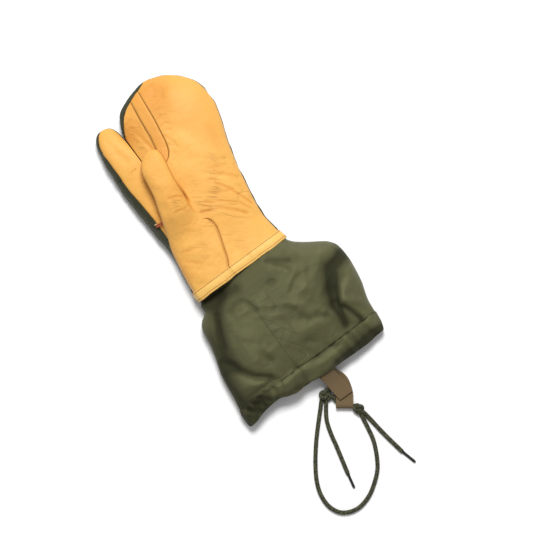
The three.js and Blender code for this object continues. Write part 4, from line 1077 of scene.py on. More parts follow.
# %% The thumb's sole
sole_rows = y_thumb > 58
x_sole = x_thumb[sole_rows][:, ::-1]
sole_y = grid_y[sole_rows]
edge_z = top_z[sole_rows]
t_sole = t[sole_rows][:, ::-1]
between = edge_z[:, -1:] + (edge_z[:, :1] - edge_z[:, -1:]) * np.linspace(0, 1, x_sole.shape[1])[None, :]
drop = (waist[sole_rows] - THUMB("sole", sole_y)) * arch(t_sole, 3)
sole_points = np.stack([x_sole, sole_y, between - drop], axis=-1)
thumb = make_piece("thumb_skin", [(thumb_points, thumb_tint), (sole_points, 0.15)], palm_finish, wall=WALL,
                   wrinkle=wrinkled)
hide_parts("thumb")

# %% [markdown]
# ## The back
# The back is olive cloth. It comes down from the seam at each side, lies flat on the table, and goes up
# again. On the index finger and at the fingertips it climbs over the side to the leather's edge. Below the
# crotch it is one sheet, and above it there is one for each stall. It is a little fuller than the leather
# at the seam.

# %% Back cloth
BACK_FULLNESS = 0.5
STRAP_TOP = 11.0
CORNER = 11.0
CORNER_POWER = 2.8
RING_COLUMNS = 90
CLOTH_WALL = 1.2
SIDE_SEAM_END = 59


def side_ring(form, y, edge_x, count, power):
    """From the right seam down, across the flat underside, up the left side to the seam, and on over the
    top to the leather's edge. Rows run to the fingertips, and columns from right to left, so the faces look
    out."""
    left, right = form("left", y)[:, None] - BACK_FULLNESS, form("right", y)[:, None] + BACK_FULLNESS
    crest, sole = form("crest", y)[:, None], form("sole", y)[:, None]
    waist = seam_height(crest, sole)
    middle, half_width = (left + right) / 2, (right - left) / 2
    lift = 2.3 * (1 - step(STRAP_TOP, STRAP_TOP + 16, y))[:, None]
    sole = np.maximum(sole, lift)
    corner = np.minimum(CORNER, half_width)
    turn = np.linspace(0, np.pi / 2, count // 3)[None, :]
    inwards = corner * (1 - np.cos(turn) ** (2 / CORNER_POWER))
    down = (waist - sole) * np.sin(turn) ** (2 / CORNER_POWER)
    flat_left, flat_right = left + corner, right - corner
    flat_share = np.linspace(0, 1, count - 2 * (count // 3) + 2)[None, 1:-1]
    flat_x = flat_right + (flat_left - flat_right) * flat_share
    x_base = np.concatenate([right - inwards, flat_x, (left + inwards)[:, ::-1]], axis=1)
    side_z = waist - down
    z_base = np.concatenate([side_z, np.broadcast_to(sole, flat_x.shape), side_z[:, ::-1]], axis=1)
    share = np.linspace(0, 1, 26)[None, 1:]
    last = np.maximum(edge_x[:, None], left)
    reach = np.clip((last - left) / np.maximum(2 * half_width, TINY), 0, 1)
    x_top = left + 2 * half_width * reach * share ** 2
    t = np.clip(np.abs((x_top - middle) / np.maximum(half_width, TINY)), 0, 1)
    z_top = waist + (crest - waist) * arch(t, power)
    x, z = np.concatenate([x_base, x_top], axis=1), np.concatenate([z_base, z_top], axis=1)
    return np.stack([x, like_grid(y, x), z], axis=-1)


def cloth_relief(points, seeds=(61, 62, 63)):
    """Soft waves and creases on the back, where it isn't flat on the table and isn't sewn under the heel's
    edge."""
    x, y, z = points[..., 0], points[..., 1], points[..., 2]
    sewn = (1 - step(60, 72, y)) * step(SEAM - 5, SEAM - 1, z) * (x < 0)
    free = step(0.5, 5, z) * (1 - sewn)
    wave = 0.35 * ripple(x + z, y, 22, seeds[0]) + 0.25 * creases(x + z, y, 18, seeds[1], 0.1)
    points[..., 0] += free * wave * np.sign(x - 5)
    points[..., 2] += 0.15 * (1 - step(0.5, 5, z)) * (1.6 + ripple(x, y, 15, seeds[2]))
    return points

# %% Back pieces
y_lower = y_palm[y_palm <= CROTCH]


class Lower:
    """The lower back: the index finger's left side, the hand's right side, and one crest between them."""

    def __call__(self, name, y):
        if name == "left":
            return np.minimum(FINGER("left", y), HAND("left", y))
        return HAND(name, y) if name != "crest" else FINGER(name, y)


heel_top = along_line(INDEX_EDGE, np.maximum(y_lower, SIDE_SEAM_END))
under_thumb = np.maximum(THUMB("left", y_lower) + 0.6, np.where(y_lower < SIDE_SEAM_END, -AWAY, heel_top))
lower_edge = np.where(y_lower < HEEL_SEAM_END, under_thumb, heel_top)
lower_points = side_ring(Lower(), y_lower, lower_edge, RING_COLUMNS, FINGER_POWER)
finger_x, finger_y = lower_points[:, RING_COLUMNS:, 0], lower_points[:, RING_COLUMNS:, 1]
finger_top = palm_height(finger_x, finger_y) - 0.15
under_heel = np.minimum(finger_top, dome(FINGER, finger_x, finger_y, FINGER_POWER) - 0.2)
finger_top = np.where(finger_y < HEEL_SEAM_END, under_heel, finger_top)
over = step(0, 1.5, finger_x - Lower()("left", y_lower)[:, None])
lower_points[:, RING_COLUMNS:, 2] += (finger_top - lower_points[:, RING_COLUMNS:, 2]) * over
y_stall = y_palm[y_palm >= CROTCH]
stall_points = side_ring(HAND, y_stall, along_line(STALL_EDGE, y_stall) + 0.6, 64, TOP_POWER)
y_tipward = y_index[y_index >= CROTCH - 1e-6]
index_back = side_ring(FINGER, y_tipward, along_line(INDEX_EDGE, y_tipward) + 0.4, 44, FINGER_POWER)
back = make_piece("back_cloth_skin", [(cloth_relief(lower_points), 0.1), (cloth_relief(stall_points), 0.1),
                                      (cloth_relief(index_back), 0.1)], back_finish, wall=CLOTH_WALL)
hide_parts("back_cloth")

# %% [markdown]
# ## The turned hem at the wrist
# The leather is turned under and stitched along two lines, so the hem is a paler, firmer band that stands
# up from the palm. Its section is a flat loop, carried along the wrist from one side seam to the other.

# %% Wrist hem
HEM_PROFILE = [
    (6.6, -0.3), (6.2, 0.5), (5.4, 1.1), (4.2, 1.25), (2, 1.35), (0, 1.35), (-2, 1.3), (-3.6, 1.2),
    (-4.8, 1.1), (-5.5, 0.7), (-5.9, 0.1), (-5.5, -0.5), (-4.5, -0.9),
]
HEM_COLUMNS = 190
HEM_WALL = 0.9
HEM_WRINKLE = 0.2
hem_y = np.array([p[0] for p in HEM_PROFILE])[::-1]
hem_out = np.array([p[1] for p in HEM_PROFILE])[::-1]
fine = np.linspace(0, len(hem_y) - 1, 40)
hem_y = np.interp(fine, np.arange(len(hem_y)), hem_y)
hem_out = np.interp(fine, np.arange(len(hem_out)), hem_out)


def hem_points(y, out):
    """Points of the wrist hem: the palm's section at y, moved outwards by out from its middle."""
    inside_y = np.clip(y, -5.4, 220)
    left, right = np.full_like(y, -60.9), HAND("right", inside_y)
    middle, half_width = (left + right) / 2, (right - left) / 2
    x = across(left, right, HEM_COLUMNS)
    z = palm_height(x, like_grid(inside_y, x))
    t = (x - middle[:, None]) / half_width[:, None]
    z = z - turned_down(x - left[:, None]) * np.maximum(z - SEAM, 0)
    wave = 0.16 * ripple(x, 0 * x, 16, 71) + 0.10 * ripple(x, 3 * np.ones_like(x), 7, 72)
    x = x + out[:, None] * np.sign(t) * np.abs(t) ** 8
    raised = out[:, None] + wave * (out[:, None] > 0.3)
    z = np.maximum(z, SEAM - 0.6) + raised * (1 - 0.5 * np.abs(t) ** 8)
    puff = 0.22 * np.cos(2 * np.pi * (y[:, None] - 1.6) / 9.2)
    edge = 0.25 * ripple(x, 0 * x, 22, 73) * (y[:, None] < 0)
    return np.stack([x, y[:, None] + edge, z + puff * (out[:, None] > 0.9)], axis=-1)

# %% Hem of the wrist
hem_line = np.minimum(np.abs(hem_y - 5.0), np.abs(hem_y + 3.4))[:, None]
hem_tint = seam_tint(0.08, np.where(hem_out[:, None] > 0.9, hem_line, AWAY), 0.5)
hem_tint = hem_tint + 0.5 * step(5.4, 6.3, hem_y)[:, None]
hem_sheet = hem_points(hem_y, hem_out)
heel_end = along_line(HEEL_LINE, np.array([8.0]))[0] + 0.12 * (5 - hem_sheet[..., 1])
hem_tint = hem_tint + 1.25 * bell(hem_sheet[..., 0] - heel_end, 0.55)
make_piece("wrist_hem_skin", [(hem_sheet, hem_tint)], hem_finish, wall=HEM_WALL,
           wrinkle=lambda x, y: HEM_WRINKLE + 0 * x)

# %% [markdown]
# ## The gauntlet
# A wide sleeve of olive sateen, flattened as it lies. It comes out from under the leather, widens to its
# full width within a few centimetres and narrows a little to the hem. Its folds are the main thing one
# sees: long soft valleys from the narrow wrist, a deep diagonal crease at the lower left and a bright facet
# at the right.

# %% Tables of the gauntlet
CUFF = Form("y left right crest sole", [
    (-150.5, -96.2, 83.5, 22.8, 0), (-147, -97, 84.5, 23.6, 0), (-141, -97, 86.2, 25.2, 0),
    (-134, -96.5, 87.2, 26.8, 0), (-128, -95.6, 88, 27.6, 0), (-121, -94.3, 88.6, 29.4, 0),
    (-113, -92.9, 89.7, 31.6, 0), (-105, -92, 92, 33.4, 0), (-94, -90.5, 95.6, 35.4, 0),
    (-84, -88.8, 97.6, 36.4, 0), (-74, -85.8, 99, 37.4, 0), (-64, -82.6, 99.9, 38, 0),
    (-54, -80, 99.6, 38, 0), (-45, -78.3, 98.2, 38, 0), (-36, -77.2, 92.4, 37, 0),
    (-30, -75.4, 84.6, 36.2, 0), (-24, -70.6, 75.4, 35.4, 0), (-18, -62.4, 67.2, 34.2, 0.2),
    (-12, -62.6, 60.4, 32.6, 1.2), (-6, -59, 56.6, 29.6, 2.2), (0, -57.4, 54.6, 28.4, 2.2),
    (8, -56.6, 53.6, 28, 2.2),
])
CUFF_TOP_POWER = 2.7
LOWEST = 0.05
CUFF_BASE_POWER = 6.0
CUFF_FOLDS = [
    (7, -4.6, [(-52, -9), (-38, -13), (-22, -17)]),
    (4.5, 4.6, [(-64, -26), (-71, -38), (-77, -54), (-81, -66)]),
    (4, -3, [(-54, -30), (-62, -46), (-68, -62)]),
    (4.8, -5.5, [(-80, -74), (-72, -84), (-68, -95), (-60, -108), (-48, -119)]),
    (8, 4.2, [(-78, -104), (-66, -114), (-56, -122)]), (12, 2, [(-40, -44), (-40, -70), (-44, -90)]),
    (3, -2.6, [(25, -13), (34, -19.5), (45, -27.5)]), (3.2, -2.3, [(30, -22), (34, -27), (38, -33)]),
    (6, 2.6, [(22, -24), (34, -31), (44, -40)]),
    (3.4, -2.2, [(-40, -35), (-32, -31), (-23, -32), (-18, -40), (-16, -50)]),
    (5, 1.6, [(-34, -42), (-26, -42)]), (9.5, -6, [(94, -56), (77, -61), (66, -78), (60, -94)]),
    (5, -4, [(59, -96), (56, -108), (54, -120)]), (9, 3.6, [(58, -28), (72, -38), (84, -44)]),
    (5.5, 5.4, [(97, -76), (86, -84), (74, -90), (64, -98)]),
    (5, 4.4, [(70, -100), (80, -108), (88, -116)]), (3, -3.4, [(64, -102), (68, -113), (71, -126)]),
    (3.4, -2, [(12, -33), (17, -35)]), (4.6, -1.8, [(11, -68), (17, -74)]),
    (4.2, -1.7, [(20, -86), (25, -92)]), (4.6, -2.2, [(-38, -94), (-36, -102)]),
    (4, -1.6, [(10, -110), (15, -115)]), (4.4, -1.8, [(35, -94), (41, -100)]),
    (6, 1.8, [(24, -70), (30, -84)]), (8, 1.6, [(30, -104), (16, -98)]), (7, 1.8, [(40, -60), (36, -46)]),
    (3, -2, [(-18, -128), (-17, -138), (-20, -150)]), (2.8, -2.4, [(68, -128), (70, -138), (72, -150)]),
    (4.5, -3, [(-76, -124), (-62, -126), (-50, -125)]), (8, -8, [(22, -154), (50, -154), (78, -152)]),
    (5, 1.8, [(-40, -136), (0, -138), (30, -138)]), (5, -2.6, [(-90, -132), (-70, -140), (-56, -146)]),
]
PLATEAU_EDGE = [
    (-150, -58), (-120, -60), (-96, -64), (-72, -63), (-50, -56), (-36, -48), (-22, -36), (-6, -17),
    (8, -12),
]
FLANK_DROP = 9.5
HEM_EDGE = [
    (-98, 0.6), (-88, 1.8), (-76, 5.6), (-64, 7.2), (-54, 7.6), (-43, 4), (-32, 1.2), (-20, 2.4), (-9, 1),
    (0, 0), (15, -1), (30, -1.2), (60, -1.8), (75, -0.2), (90, 0),
]
PUCKER_SEAM = -128.0

# %% Height of the gauntlet
def crumple(x, y, size, seed, edge=0.12):
    """Facets like stiff cloth: the difference of two rounded absolute ripples, which has soft ridges where
    one passes nought and soft valleys where the other does."""
    bend = 0.25 * size * ripple(x, y, 1.7 * size, seed + 3)
    first = np.sqrt(ripple(x + bend, y, size, seed) ** 2 + edge ** 2)
    return first - np.sqrt(ripple(x, y - bend, 0.8 * size, seed + 1) ** 2 + edge ** 2)


def cuff_relief(x, y):
    """The gauntlet's folds with fine cloth creases, and puckers that fan out from the casing's seam."""
    pucker = 0.6 * ripple(x, 0.25 * y, 12, 83) + 0.25 * ripple(x, 0.3 * y, 7, 84)
    near_seam = bell(y - PUCKER_SEAM, 8)
    edge = along_line(PLATEAU_EDGE, y)
    flank = -FLANK_DROP * (1 - step(edge - 17, edge + 3, x)) * step(-112, -88, y)
    return (folds(CUFF_FOLDS, x, y) + flank + 1.0 * crumple(x, y, 66, 85) + 0.15 * crumple(x, y, 30, 185)
            + 0.08 * ripple(x, y, 13, 86)
            + 0.25 * creases(x, y, 44, 87, 0.12) + 0.08 * creases(x, y, 19, 97, 0.12) + near_seam * pucker)


def cuff_top(x, y):
    """Height of the gauntlet's palm face: its dome, and the folds, which fade at both sides."""
    left, right, crest, sole = (CUFF(name, y) for name in ("left", "right", "crest", "sole"))
    waist = seam_height(crest, sole)
    t = np.abs((x - (left + right) / 2) / ((right - left) / 2))
    fade = np.maximum(1 - np.minimum(t, 1) ** CUFF_TOP_POWER, 0) ** 0.8 * (1 - step(-8, -4, y))
    return waist + (crest - waist) * arch(t, CUFF_TOP_POWER) + fade * cuff_relief(x, y)


def hem_shift(x, y, z):
    """How the hem's edge runs in and out: the table's value, times a share that grows towards the hem. On
    the palm face it fades out round the side, and at the left both faces are drawn in together."""
    table = np.array(HEM_EDGE, float)
    drawn_in = np.maximum(step(4, 14, z), 1 - step(-30, -5, x))
    return smooth(table[:, 0], table[:, 1], x) * step(0, 1, (-105 - y) / 45) * drawn_in


def cuff_ring(y, out, top_count=190, base_count=90):
    """Rings of the gauntlet at the rows y, moved outwards by out. Columns run from left to right over the
    top and back underneath, and the last one repeats the first."""
    left, right = CUFF("left", y)[:, None] - out[:, None], CUFF("right", y)[:, None] + out[:, None]
    sole = CUFF("sole", y)[:, None]
    middle, half_width = (left + right) / 2, (right - left) / 2
    turn = np.pi * (1 - np.linspace(0, 1, top_count))[None, :]
    c = np.cos(turn)
    x_top = middle + half_width * np.sign(c) * np.abs(c) ** (2 / CUFF_TOP_POWER)
    y_top = like_grid(y, x_top)
    squeeze = half_width / (half_width + out[:, None])
    z_top = cuff_top(middle + (x_top - middle) * squeeze, y_top)
    z_top = z_top + out[:, None] * np.abs(np.sin(turn)) ** 0.8
    turn = -np.pi * np.linspace(0, 1, base_count)[None, 1:]
    c, s = np.cos(turn), np.abs(np.sin(turn))
    x_base = middle + half_width * np.sign(c) * np.abs(c) ** (2 / CUFF_BASE_POWER)
    y_base = like_grid(y, x_base)
    z_low = sole - np.minimum(out[:, None], 0) * (sole < 0.1)
    z_base = SEAM - (SEAM - z_low) * np.minimum(1, 1.02 * s ** (2 / CUFF_BASE_POWER))
    flat = bell(z_base, 1.2)
    z_base = z_base + flat * 0.5 * (0.6 + 0.4 * ripple(x_base, y_base, 22, 88)) * (s > 0)
    sway = 0.8 * ripple(0 * x_base, y_base, 26, 89) * (1 - flat) * s ** 0.5
    x_base = x_base + sway
    x, z = np.concatenate([x_top, x_base], axis=1), np.concatenate([z_top, z_base], axis=1)
    rows = np.concatenate([y_top, y_base], axis=1)
    return np.stack([x, rows + hem_shift(x, rows, z), np.maximum(z, LOWEST)], axis=-1)

# %% Painted shade and highlight of the gauntlet
# Painted shade on the gauntlet: each line is (spread, strength, points), and a strength below nought paints
# a highlight, as on the bright facet at the right.
CUFF_PAINTED_SHADING = [
    (13, 0.5, [(-58, -8), (-48, -14)]), (10.5, 0.52, [(-46, -15), (-58, -34), (-70, -57), (-75, -80)]),
    (6, 0.3, [(-88, -84), (-92, -110)]), (9, 0.4, [(94, -56), (77, -61), (66, -78), (60, -94)]),
    (5, 0.4, [(59, -96), (56, -108), (53, -122)]), (9, 0.35, [(-84, -100), (-92, -128), (-92, -146)]),
    (7.5, 0.9, [(22, -152), (50, -151), (80, -148)]), (6, -0.3, [(-34, -136), (18, -138)]),
    (6, 0.3, [(56, -137), (62, -141)]), (4, 0.45, [(-18, -149), (10, -151)]),
    (4.2, 0.6, [(-82, -142), (-66, -139.5), (-52, -139.5), (-40, -143), (-24, -145)]),
    (11, 0.85, [(-94, -138), (-70, -138)]), (14, 0.55, [(-80, -46), (-86, -82)]),
    (12, 0.48, [(-90, -108), (-88, -128)]), (7, -0.12, [(62, -32), (74, -40), (84, -46)]),
    (3, 0.35, [(64, -102), (68, -113), (71, -125)]), (8, -0.2, [(92, -82), (76, -92), (68, -97)]),
    (8, -0.22, [(86, -98), (82, -118), (82, -132)]),
]


def cuff_painted_shading(points):
    """Tint of the gauntlet: painted shade in its valleys and painted highlight on its ridges, and from the
    table broad places of painted shade and a few of painted highlight. The cloth is also duller where the
    tint is higher.
    """
    x, y, z = points[..., 0], points[..., 1], points[..., 2]
    hollow = np.clip(-0.13 * folds(CUFF_FOLDS, x, y), -0.15, 0.6) + folds(CUFF_PAINTED_SHADING, x, y)
    return np.minimum(0.15 + hollow * step(6, 12, z), 0.98)


def needle_line(points):
    """Dirt and needle holes along the casing's seam: clear in the middle, lost in the wrinkles at the
    left."""
    x, y = points[..., 0], points[..., 1]
    patchy = np.clip(0.75 + 0.5 * ripple(x, 0 * y, 9, 94), 0, 1) * (0.25 + 0.75 * step(-70, -35, x))
    return 1.2 * patchy * bell(y - PUCKER_SEAM - 0.2 * ripple(x, 0 * y, 14, 95), 0.65)


# %% Gauntlet
y_cuff = np.concatenate([np.linspace(-128.6, -20, 118), np.linspace(-19.2, 7.5, 34)])
cuff_points = cuff_ring(y_cuff, np.zeros_like(y_cuff))
# Painted shade and highlight of the folds, and dirt along the casing's seam.
cuff_tint = cuff_painted_shading(cuff_points)
cuff_tint = cuff_tint + needle_line(cuff_points)
gauntlet = make_piece("gauntlet_skin", [(cuff_points, cuff_tint)], cloth_finish, wall=CLOTH_WALL)
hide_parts("gauntlet")

# %% [markdown]
# ## The casing
# The hem is folded into a casing for the cord and stitched down, so it is a double, slightly swollen band.
# Its section is a flat closed loop, carried all round the mouth, and that also finishes the hem on the
# inside.

# %% Casing
CASING_PROFILE = [
    (-128.1, -0.4), (-128.4, 0.4), (-129.6, 0.85), (-133, 1.1), (-140, 1.15), (-146, 1), (-149.2, 0.5),
    (-150.4, -0.6), (-149.8, -1.9), (-147, -2.5), (-140, -2.5), (-130, -2.4), (-128.2, -1.6),
    (-128.1, -0.4),
]
profile = np.array(CASING_PROFILE)[::-1]
arc = arc_lengths(profile)
even = np.linspace(0, arc[-1], 84)
casing_y, casing_out = np.interp(even, arc, profile[:, 0]), np.interp(even, arc, profile[:, 1])
casing_points = cuff_ring(casing_y, casing_out)
rolls = 1.1 * ripple(casing_points[..., 0], 0.6 * casing_points[..., 1], 34, 91)
rolls = rolls + 0.6 * ripple(casing_points[..., 0], 0.4 * casing_points[..., 1], 13, 92)
rolls = rolls + 0.9 * ripple(casing_points[..., 0], 0.8 * casing_points[..., 1], 9, 191) * (
    1 - step(-58, -30, casing_points[..., 0]))
casing_points[..., 2] += rolls * step(8, 14, casing_points[..., 2]) * step(-0.5, 0.5, casing_out)[:, None]
# Painted highlight on the crests of the rolls and painted shade in their hollows, on top of the gauntlet's
# painted shade and highlight and the seam's dirt.
casing_tint = cuff_painted_shading(casing_points) + needle_line(casing_points) - 0.12 * rolls
casing = make_piece("casing_skin", [(casing_points, casing_tint)], cloth_finish)
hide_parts("cuff_hem")

# %% [markdown]
# ## The facing
# A narrow rectangle is sewn flat on the palm face of the gauntlet. It is a second layer of the same cloth,
# seen only by its raised edge and its two rows of stitches, so it is a thin sheet laid on the gauntlet's
# own height.

# %% Facing
FACING_BOX = (-17.0, 5.0, -127.2, -34.6)
FACING_LIFT = 0.7
STITCH_INSETS = (1.6, 4.4)
x_facing = np.broadcast_to(np.linspace(FACING_BOX[0], FACING_BOX[1], 56)[None, :], (150, 56))
y_facing = np.broadcast_to(np.linspace(FACING_BOX[2], FACING_BOX[3], 150)[:, None], (150, 56))
edge = np.minimum(np.minimum(x_facing - FACING_BOX[0], FACING_BOX[1] - x_facing),
                  np.minimum(y_facing - FACING_BOX[2], FACING_BOX[3] - y_facing))
lift = FACING_LIFT * np.sqrt(np.clip(edge / 0.8, 0, 1)) - 0.12
lift = lift - 0.30 * bell(edge - STITCH_INSETS[0], 0.5) - 0.22 * bell(edge - STITCH_INSETS[1], 0.5)
facing_points = np.stack([x_facing, y_facing, cuff_top(x_facing, y_facing) + lift], axis=-1)
# The facing takes the gauntlet's painted shade and highlight, and is a little darker along its edge.
facing_tint = cuff_painted_shading(facing_points) + 0.12 * bell(edge, 0.4)
facing = make_piece("facing_skin", [(facing_points, facing_tint)], cloth_finish)
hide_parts("facing_strip")

# %% [markdown]
# ## The webbing
# A strip of brown webbing is sewn inside the hem by both ends, and the cord runs through the loop that it
# makes. Its front leg lies straight over the back one, which turns aside and folds round the cord. A second
# strip crosses the back of the wrist from seam to seam. All are flat ribbons: a centre line, a width, a
# thickness.

# %% Webbing
LOOP_WIDTH = 17.5
WEBBING = 1.2
LOOP_LEAN = 0.09
LOOP_LEFT = -4
LOOP_ROOM = CORD / 2 + 0.7
HEM_INSIDE = 19.6


def ribbon(name, centre_line, width, thickness, place, material):
    """A ribbon along a centre line of (along, height) pairs in its own plane. Its section is a flat oval of
    the given width and thickness, and place(across, along, height) puts its points where they go."""
    line = np.array(centre_line, float)
    arc = arc_lengths(line)
    even = np.linspace(0, arc[-1], int(arc[-1] / 0.6))
    line = np.stack([smooth(arc, line[:, axis], even) for axis in (0, 1)], axis=1)
    tangent = np.gradient(line, axis=0)
    tangent /= np.linalg.norm(tangent, axis=1)[:, None]
    normal = np.stack([-tangent[:, 1], tangent[:, 0]], axis=1)
    turn = np.linspace(0, 2 * np.pi, 37)[None, :]
    c, s = np.cos(turn), np.sin(turn)
    wide = width / 2 * np.sign(c) * np.abs(c) ** 0.35
    thick = thickness / 2 * np.sign(s) * np.abs(s) ** 0.5
    rib = 0.07 * np.cos(2 * np.pi * even / 1.3)[:, None] * np.sign(s) * (np.abs(s) > 0.1)
    selvedge = 0.12 * bell(np.abs(wide) - width / 2 + 1.0, 0.7) * np.sign(s)
    thick = thick + rib + selvedge
    wide = np.broadcast_to(wide, thick.shape)
    points = place(wide, line[:, :1] + normal[:, :1] * thick, line[:, 1:] + normal[:, 1:] * thick)
    uv = np.stack(np.broadcast_arrays(wide * MM, even[:, None] * MM), axis=-1)
    uv = np.concatenate([uv[:1], uv, uv[-1:]])
    return make_piece(name, [(close_ends(points), 0.2, uv)], material, merge=0.004)

# %% The two legs of the loop
FRONT_LINE = [
    (-139, HEM_INSIDE - 0.4), (-146, HEM_INSIDE - 0.6), (-150.5, HEM_INSIDE - 1.6),
    (-158, HEM_INSIDE - 5.4), (-166, HEM_INSIDE - 8.2), (-174, HEM_INSIDE - 9.6),
    (-184, HEM_INSIDE - 10.4),
]
BACK_PLAN = [
    (4, -139), (5, -150), (8.2, -159), (11.2, -168), (8.8, -178), (3.2, -187), (-2.2, -194.4),
]


def at_hem(wide, along, high):
    """The loop leaves the hem and leans to the right as it goes down."""
    x = LOOP_LEFT + LOOP_WIDTH / 2 + LOOP_LEAN * (-150 - along) + wide
    return np.stack([x, along, np.maximum(high, LOWEST)], axis=-1)


back_plan = np.array(BACK_PLAN, float)
back_arc = arc_lengths(back_plan)
back_end = back_arc[-1]
fold = LOOP_ROOM + WEBBING / 2
bend = [(back_end - LOOP_ROOM - WEBBING + fold * math.sin(a), LOOP_ROOM + WEBBING + fold * math.cos(a))
        for a in np.linspace(0.1, 3.0, 9)]
BACK_LINE = [(0, HEM_INSIDE - 2.0), (11, HEM_INSIDE - 3.4), (17, HEM_INSIDE - 9), (24, 3.2), (31, 0.9),
             (back_end - 9, 0.75), *bend[::-1], (back_end - 9, 2 * LOOP_ROOM + 1.2),
             (back_end - 20, 2 * LOOP_ROOM + 0.2)]


def on_back_plan(wide, along, high):
    """The back leg turns to the left as it goes down: a point is the plan curve's place at that length
    along it, moved by wide across it."""
    here = [smooth(back_arc, back_plan[:, axis], along) for axis in (0, 1)]
    ahead = [smooth(back_arc, back_plan[:, axis], np.minimum(along + 0.5, back_end)) for axis in (0, 1)]
    back = [smooth(back_arc, back_plan[:, axis], np.minimum(along, back_end) - 0.5) for axis in (0, 1)]
    dx, dy = ahead[0] - back[0], ahead[1] - back[1]
    size = np.hypot(dx, dy)
    x, y = here[0] - wide * dy / size, here[1] + wide * dx / size
    return np.stack([x, y, np.maximum(high, LOWEST)], axis=-1)


loop = ribbon("webbing_loop_strip", FRONT_LINE, LOOP_WIDTH, WEBBING, at_hem, webbing_finish)
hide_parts("webbing_loop")
ribbon("webbing_back_leg", BACK_LINE, LOOP_WIDTH + 1.5, WEBBING, on_back_plan, webbing_finish)

# %% Wrist strap
STRAP_Y = 3.0
STRAP_LINE = [
    (-60.4, 4.4), (-59.8, 3), (-58.2, 1.9), (-55, 1.3), (-40, 1), (0, 0.95), (40, 1), (51, 1.3),
    (53.6, 1.9), (54.9, 3), (55.2, 4.4),
]
strap = ribbon("wrist_strap_strip", STRAP_LINE, 16.0, 1.5,
               lambda wide, along, high: np.stack([along, STRAP_Y + wide, np.maximum(high, 0.03)], axis=-1),
               strap_finish)
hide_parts("wrist_strap")

# %% [markdown]
# ## Stitches
# A row of stitches is a seam line, walked at an even pitch, with one short rounded thread at each step. All
# the stitches of a row are one mesh: a small shape is made once, and arrays place and turn it at every
# step.

# %% Stitch rows
STITCH_SIDES, STITCH_RINGS = 6, 5
STITCH_TINT = 0.3


def stitch_row(line, pitch, length, width, lift=0.12):
    """Grid sheets of all stitches along a line of points in millimetres: at every pitch, an ellipsoid of
    the given length and width, its long axis along the line, its middle lift above it."""
    arc = arc_lengths(line)
    middles = np.arange(pitch / 2, arc[-1], pitch)
    place = np.stack([np.interp(middles, arc, line[:, axis]) for axis in range(3)], axis=1)
    ahead = np.stack([np.interp(middles + 0.5, arc, line[:, axis]) for axis in range(3)], axis=1)
    behind = np.stack([np.interp(middles - 0.5, arc, line[:, axis]) for axis in range(3)], axis=1)
    along = (ahead - behind) / np.linalg.norm(ahead - behind, axis=1)[:, None]
    side = np.cross(along, (0, 0, 1.0))
    side /= np.linalg.norm(side, axis=1)[:, None]
    over = np.cross(side, along)
    s = np.linspace(-1, 1, STITCH_RINGS)
    radius = np.sqrt(np.maximum(1 - s ** 2, 0))
    turn = np.linspace(0, 2 * np.pi, STITCH_SIDES + 1)
    ring = (side[:, None, None, :] * np.cos(turn)[None, None, :, None]
            + over[:, None, None, :] * np.sin(turn)[None, None, :, None]) * radius[None, :, None, None]
    axis_points = along[:, None, None, :] * (s * length / 2)[None, :, None, None]
    points = (place + over * lift)[:, None, None, :] + axis_points
    return list(points + ring * width / 2)


def stitch_piece(name, rows, material):
    """One mesh from all stitches of the given rows."""
    sheets = [(sheet, STITCH_TINT) for row in rows for sheet in row]
    return make_piece(name, sheets, material, merge=0.004)

# %% Stitches on the leather
def palm_line(x, y, lift=0.0):
    """Points on the palm's leather along a seam line."""
    x, y = np.broadcast_arrays(np.asarray(x, float), np.asarray(y, float))
    return np.stack([x, y, palm_height(x, y) + lift], axis=1)


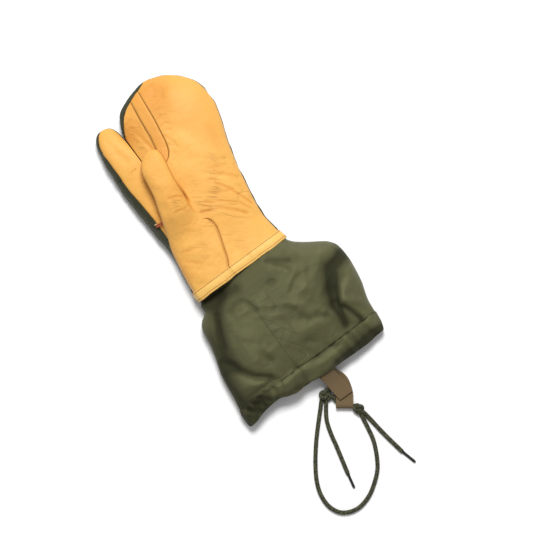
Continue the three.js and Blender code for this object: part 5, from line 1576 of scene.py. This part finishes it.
STITCH_PITCH = 2.6
STITCH_LENGTH = 2.0
y_outer, y_inner = np.linspace(140.5, 217.5, 200), np.linspace(156, 213.0, 160)
y_heel = np.linspace(7, 60, 160)
seam_rows = []
for line, y, beside, lift, thickness in [
    (OUTER_LINE, y_outer, 1.0, -0.1, 0.42),
    (INNER_LINE, y_inner, -0.9, -0.1, 0.42), (INNER_LINE, y_inner, 1.3, 0.15, 0.36),
    (HEEL_LINE, y_heel, 1.2, -0.1, 0.42), (HEEL_LINE, y_heel, -1.4, 0.35, 0.36),
]:
    on_seam = palm_line(along_line(line, y) + beside, y, lift)
    seam_rows.append(stitch_row(on_seam, STITCH_PITCH, STITCH_LENGTH, thickness))
stitch_piece("palm_seam_stitches", seam_rows, dark_thread)

hem_rows = []
for stitch_y, out in ((4.9, 1.15), (-3.4, 1.2)):
    strip = hem_points(np.array([stitch_y, stitch_y]), np.array([out, out]))[0]
    hem_rows.append(stitch_row(strip[6:-6], 3.0, 2.3, 0.5, 0.1))
stitch_piece("wrist_hem_stitches", hem_rows, dark_thread)

# %% Stitches on the gauntlet
def cuff_line(x, y, lift):
    x, y = np.broadcast_arrays(np.asarray(x, float), np.asarray(y, float))
    return np.stack([x, y, cuff_top(x, y) + lift], axis=1)


facing_rows = []
for inset in STITCH_INSETS:
    x0, x1 = FACING_BOX[0] + inset, FACING_BOX[1] - inset
    y0, y1 = FACING_BOX[2] + 1, FACING_BOX[3] - inset
    up, over_x = np.linspace(y0, y1, 160), np.linspace(x0, x1, 40)
    for line in (cuff_line(x0, up, 0.55), cuff_line(over_x, y1, 0.55), cuff_line(x1, up[::-1], 0.55)):
        facing_rows.append(stitch_row(line, 2.4, 1.7, 0.38))
stitch_piece("facing_stitches", facing_rows, pale_thread)

seam_ring = cuff_ring(np.array([-129.6]), np.array([0.75]))[0]
casing_row = stitch_row(seam_ring[4:-4], 3.0, 2.1, 0.5, 0.25)
stitch_piece("casing_stitches", [casing_row], dark_thread)

# %% [markdown]
# ### The bar tack
# A short dense bar of reddish thread holds the thumb's side to the index finger's leather. It is a row of
# close stitches laid side by side.

# %% Bar tack
tack_from, tack_to = np.array([-49.2, 88.2, 24.6]), np.array([-40.4, 87.4, 31.6])
tack_line = tack_from + (tack_to - tack_from) * np.linspace(0, 1, 14)[:, None]
tack_rows = []
for offset in (-1.0, 0.0, 1.0):
    tack_rows.append(stitch_row(tack_line + np.array([0.3, 1, 0.1]) * offset, 1.0, 1.7, 1.3, 0.3))
stitch_piece("bar_tack", tack_rows, tack_thread)
tack_end = stitch_row(tack_line[:5] + np.array([-0.2, 2.3, 0.4]), 1.0, 1.8, 1.4, 0.3)
stitch_piece("bar_tack_end", [tack_end], tan_thread)
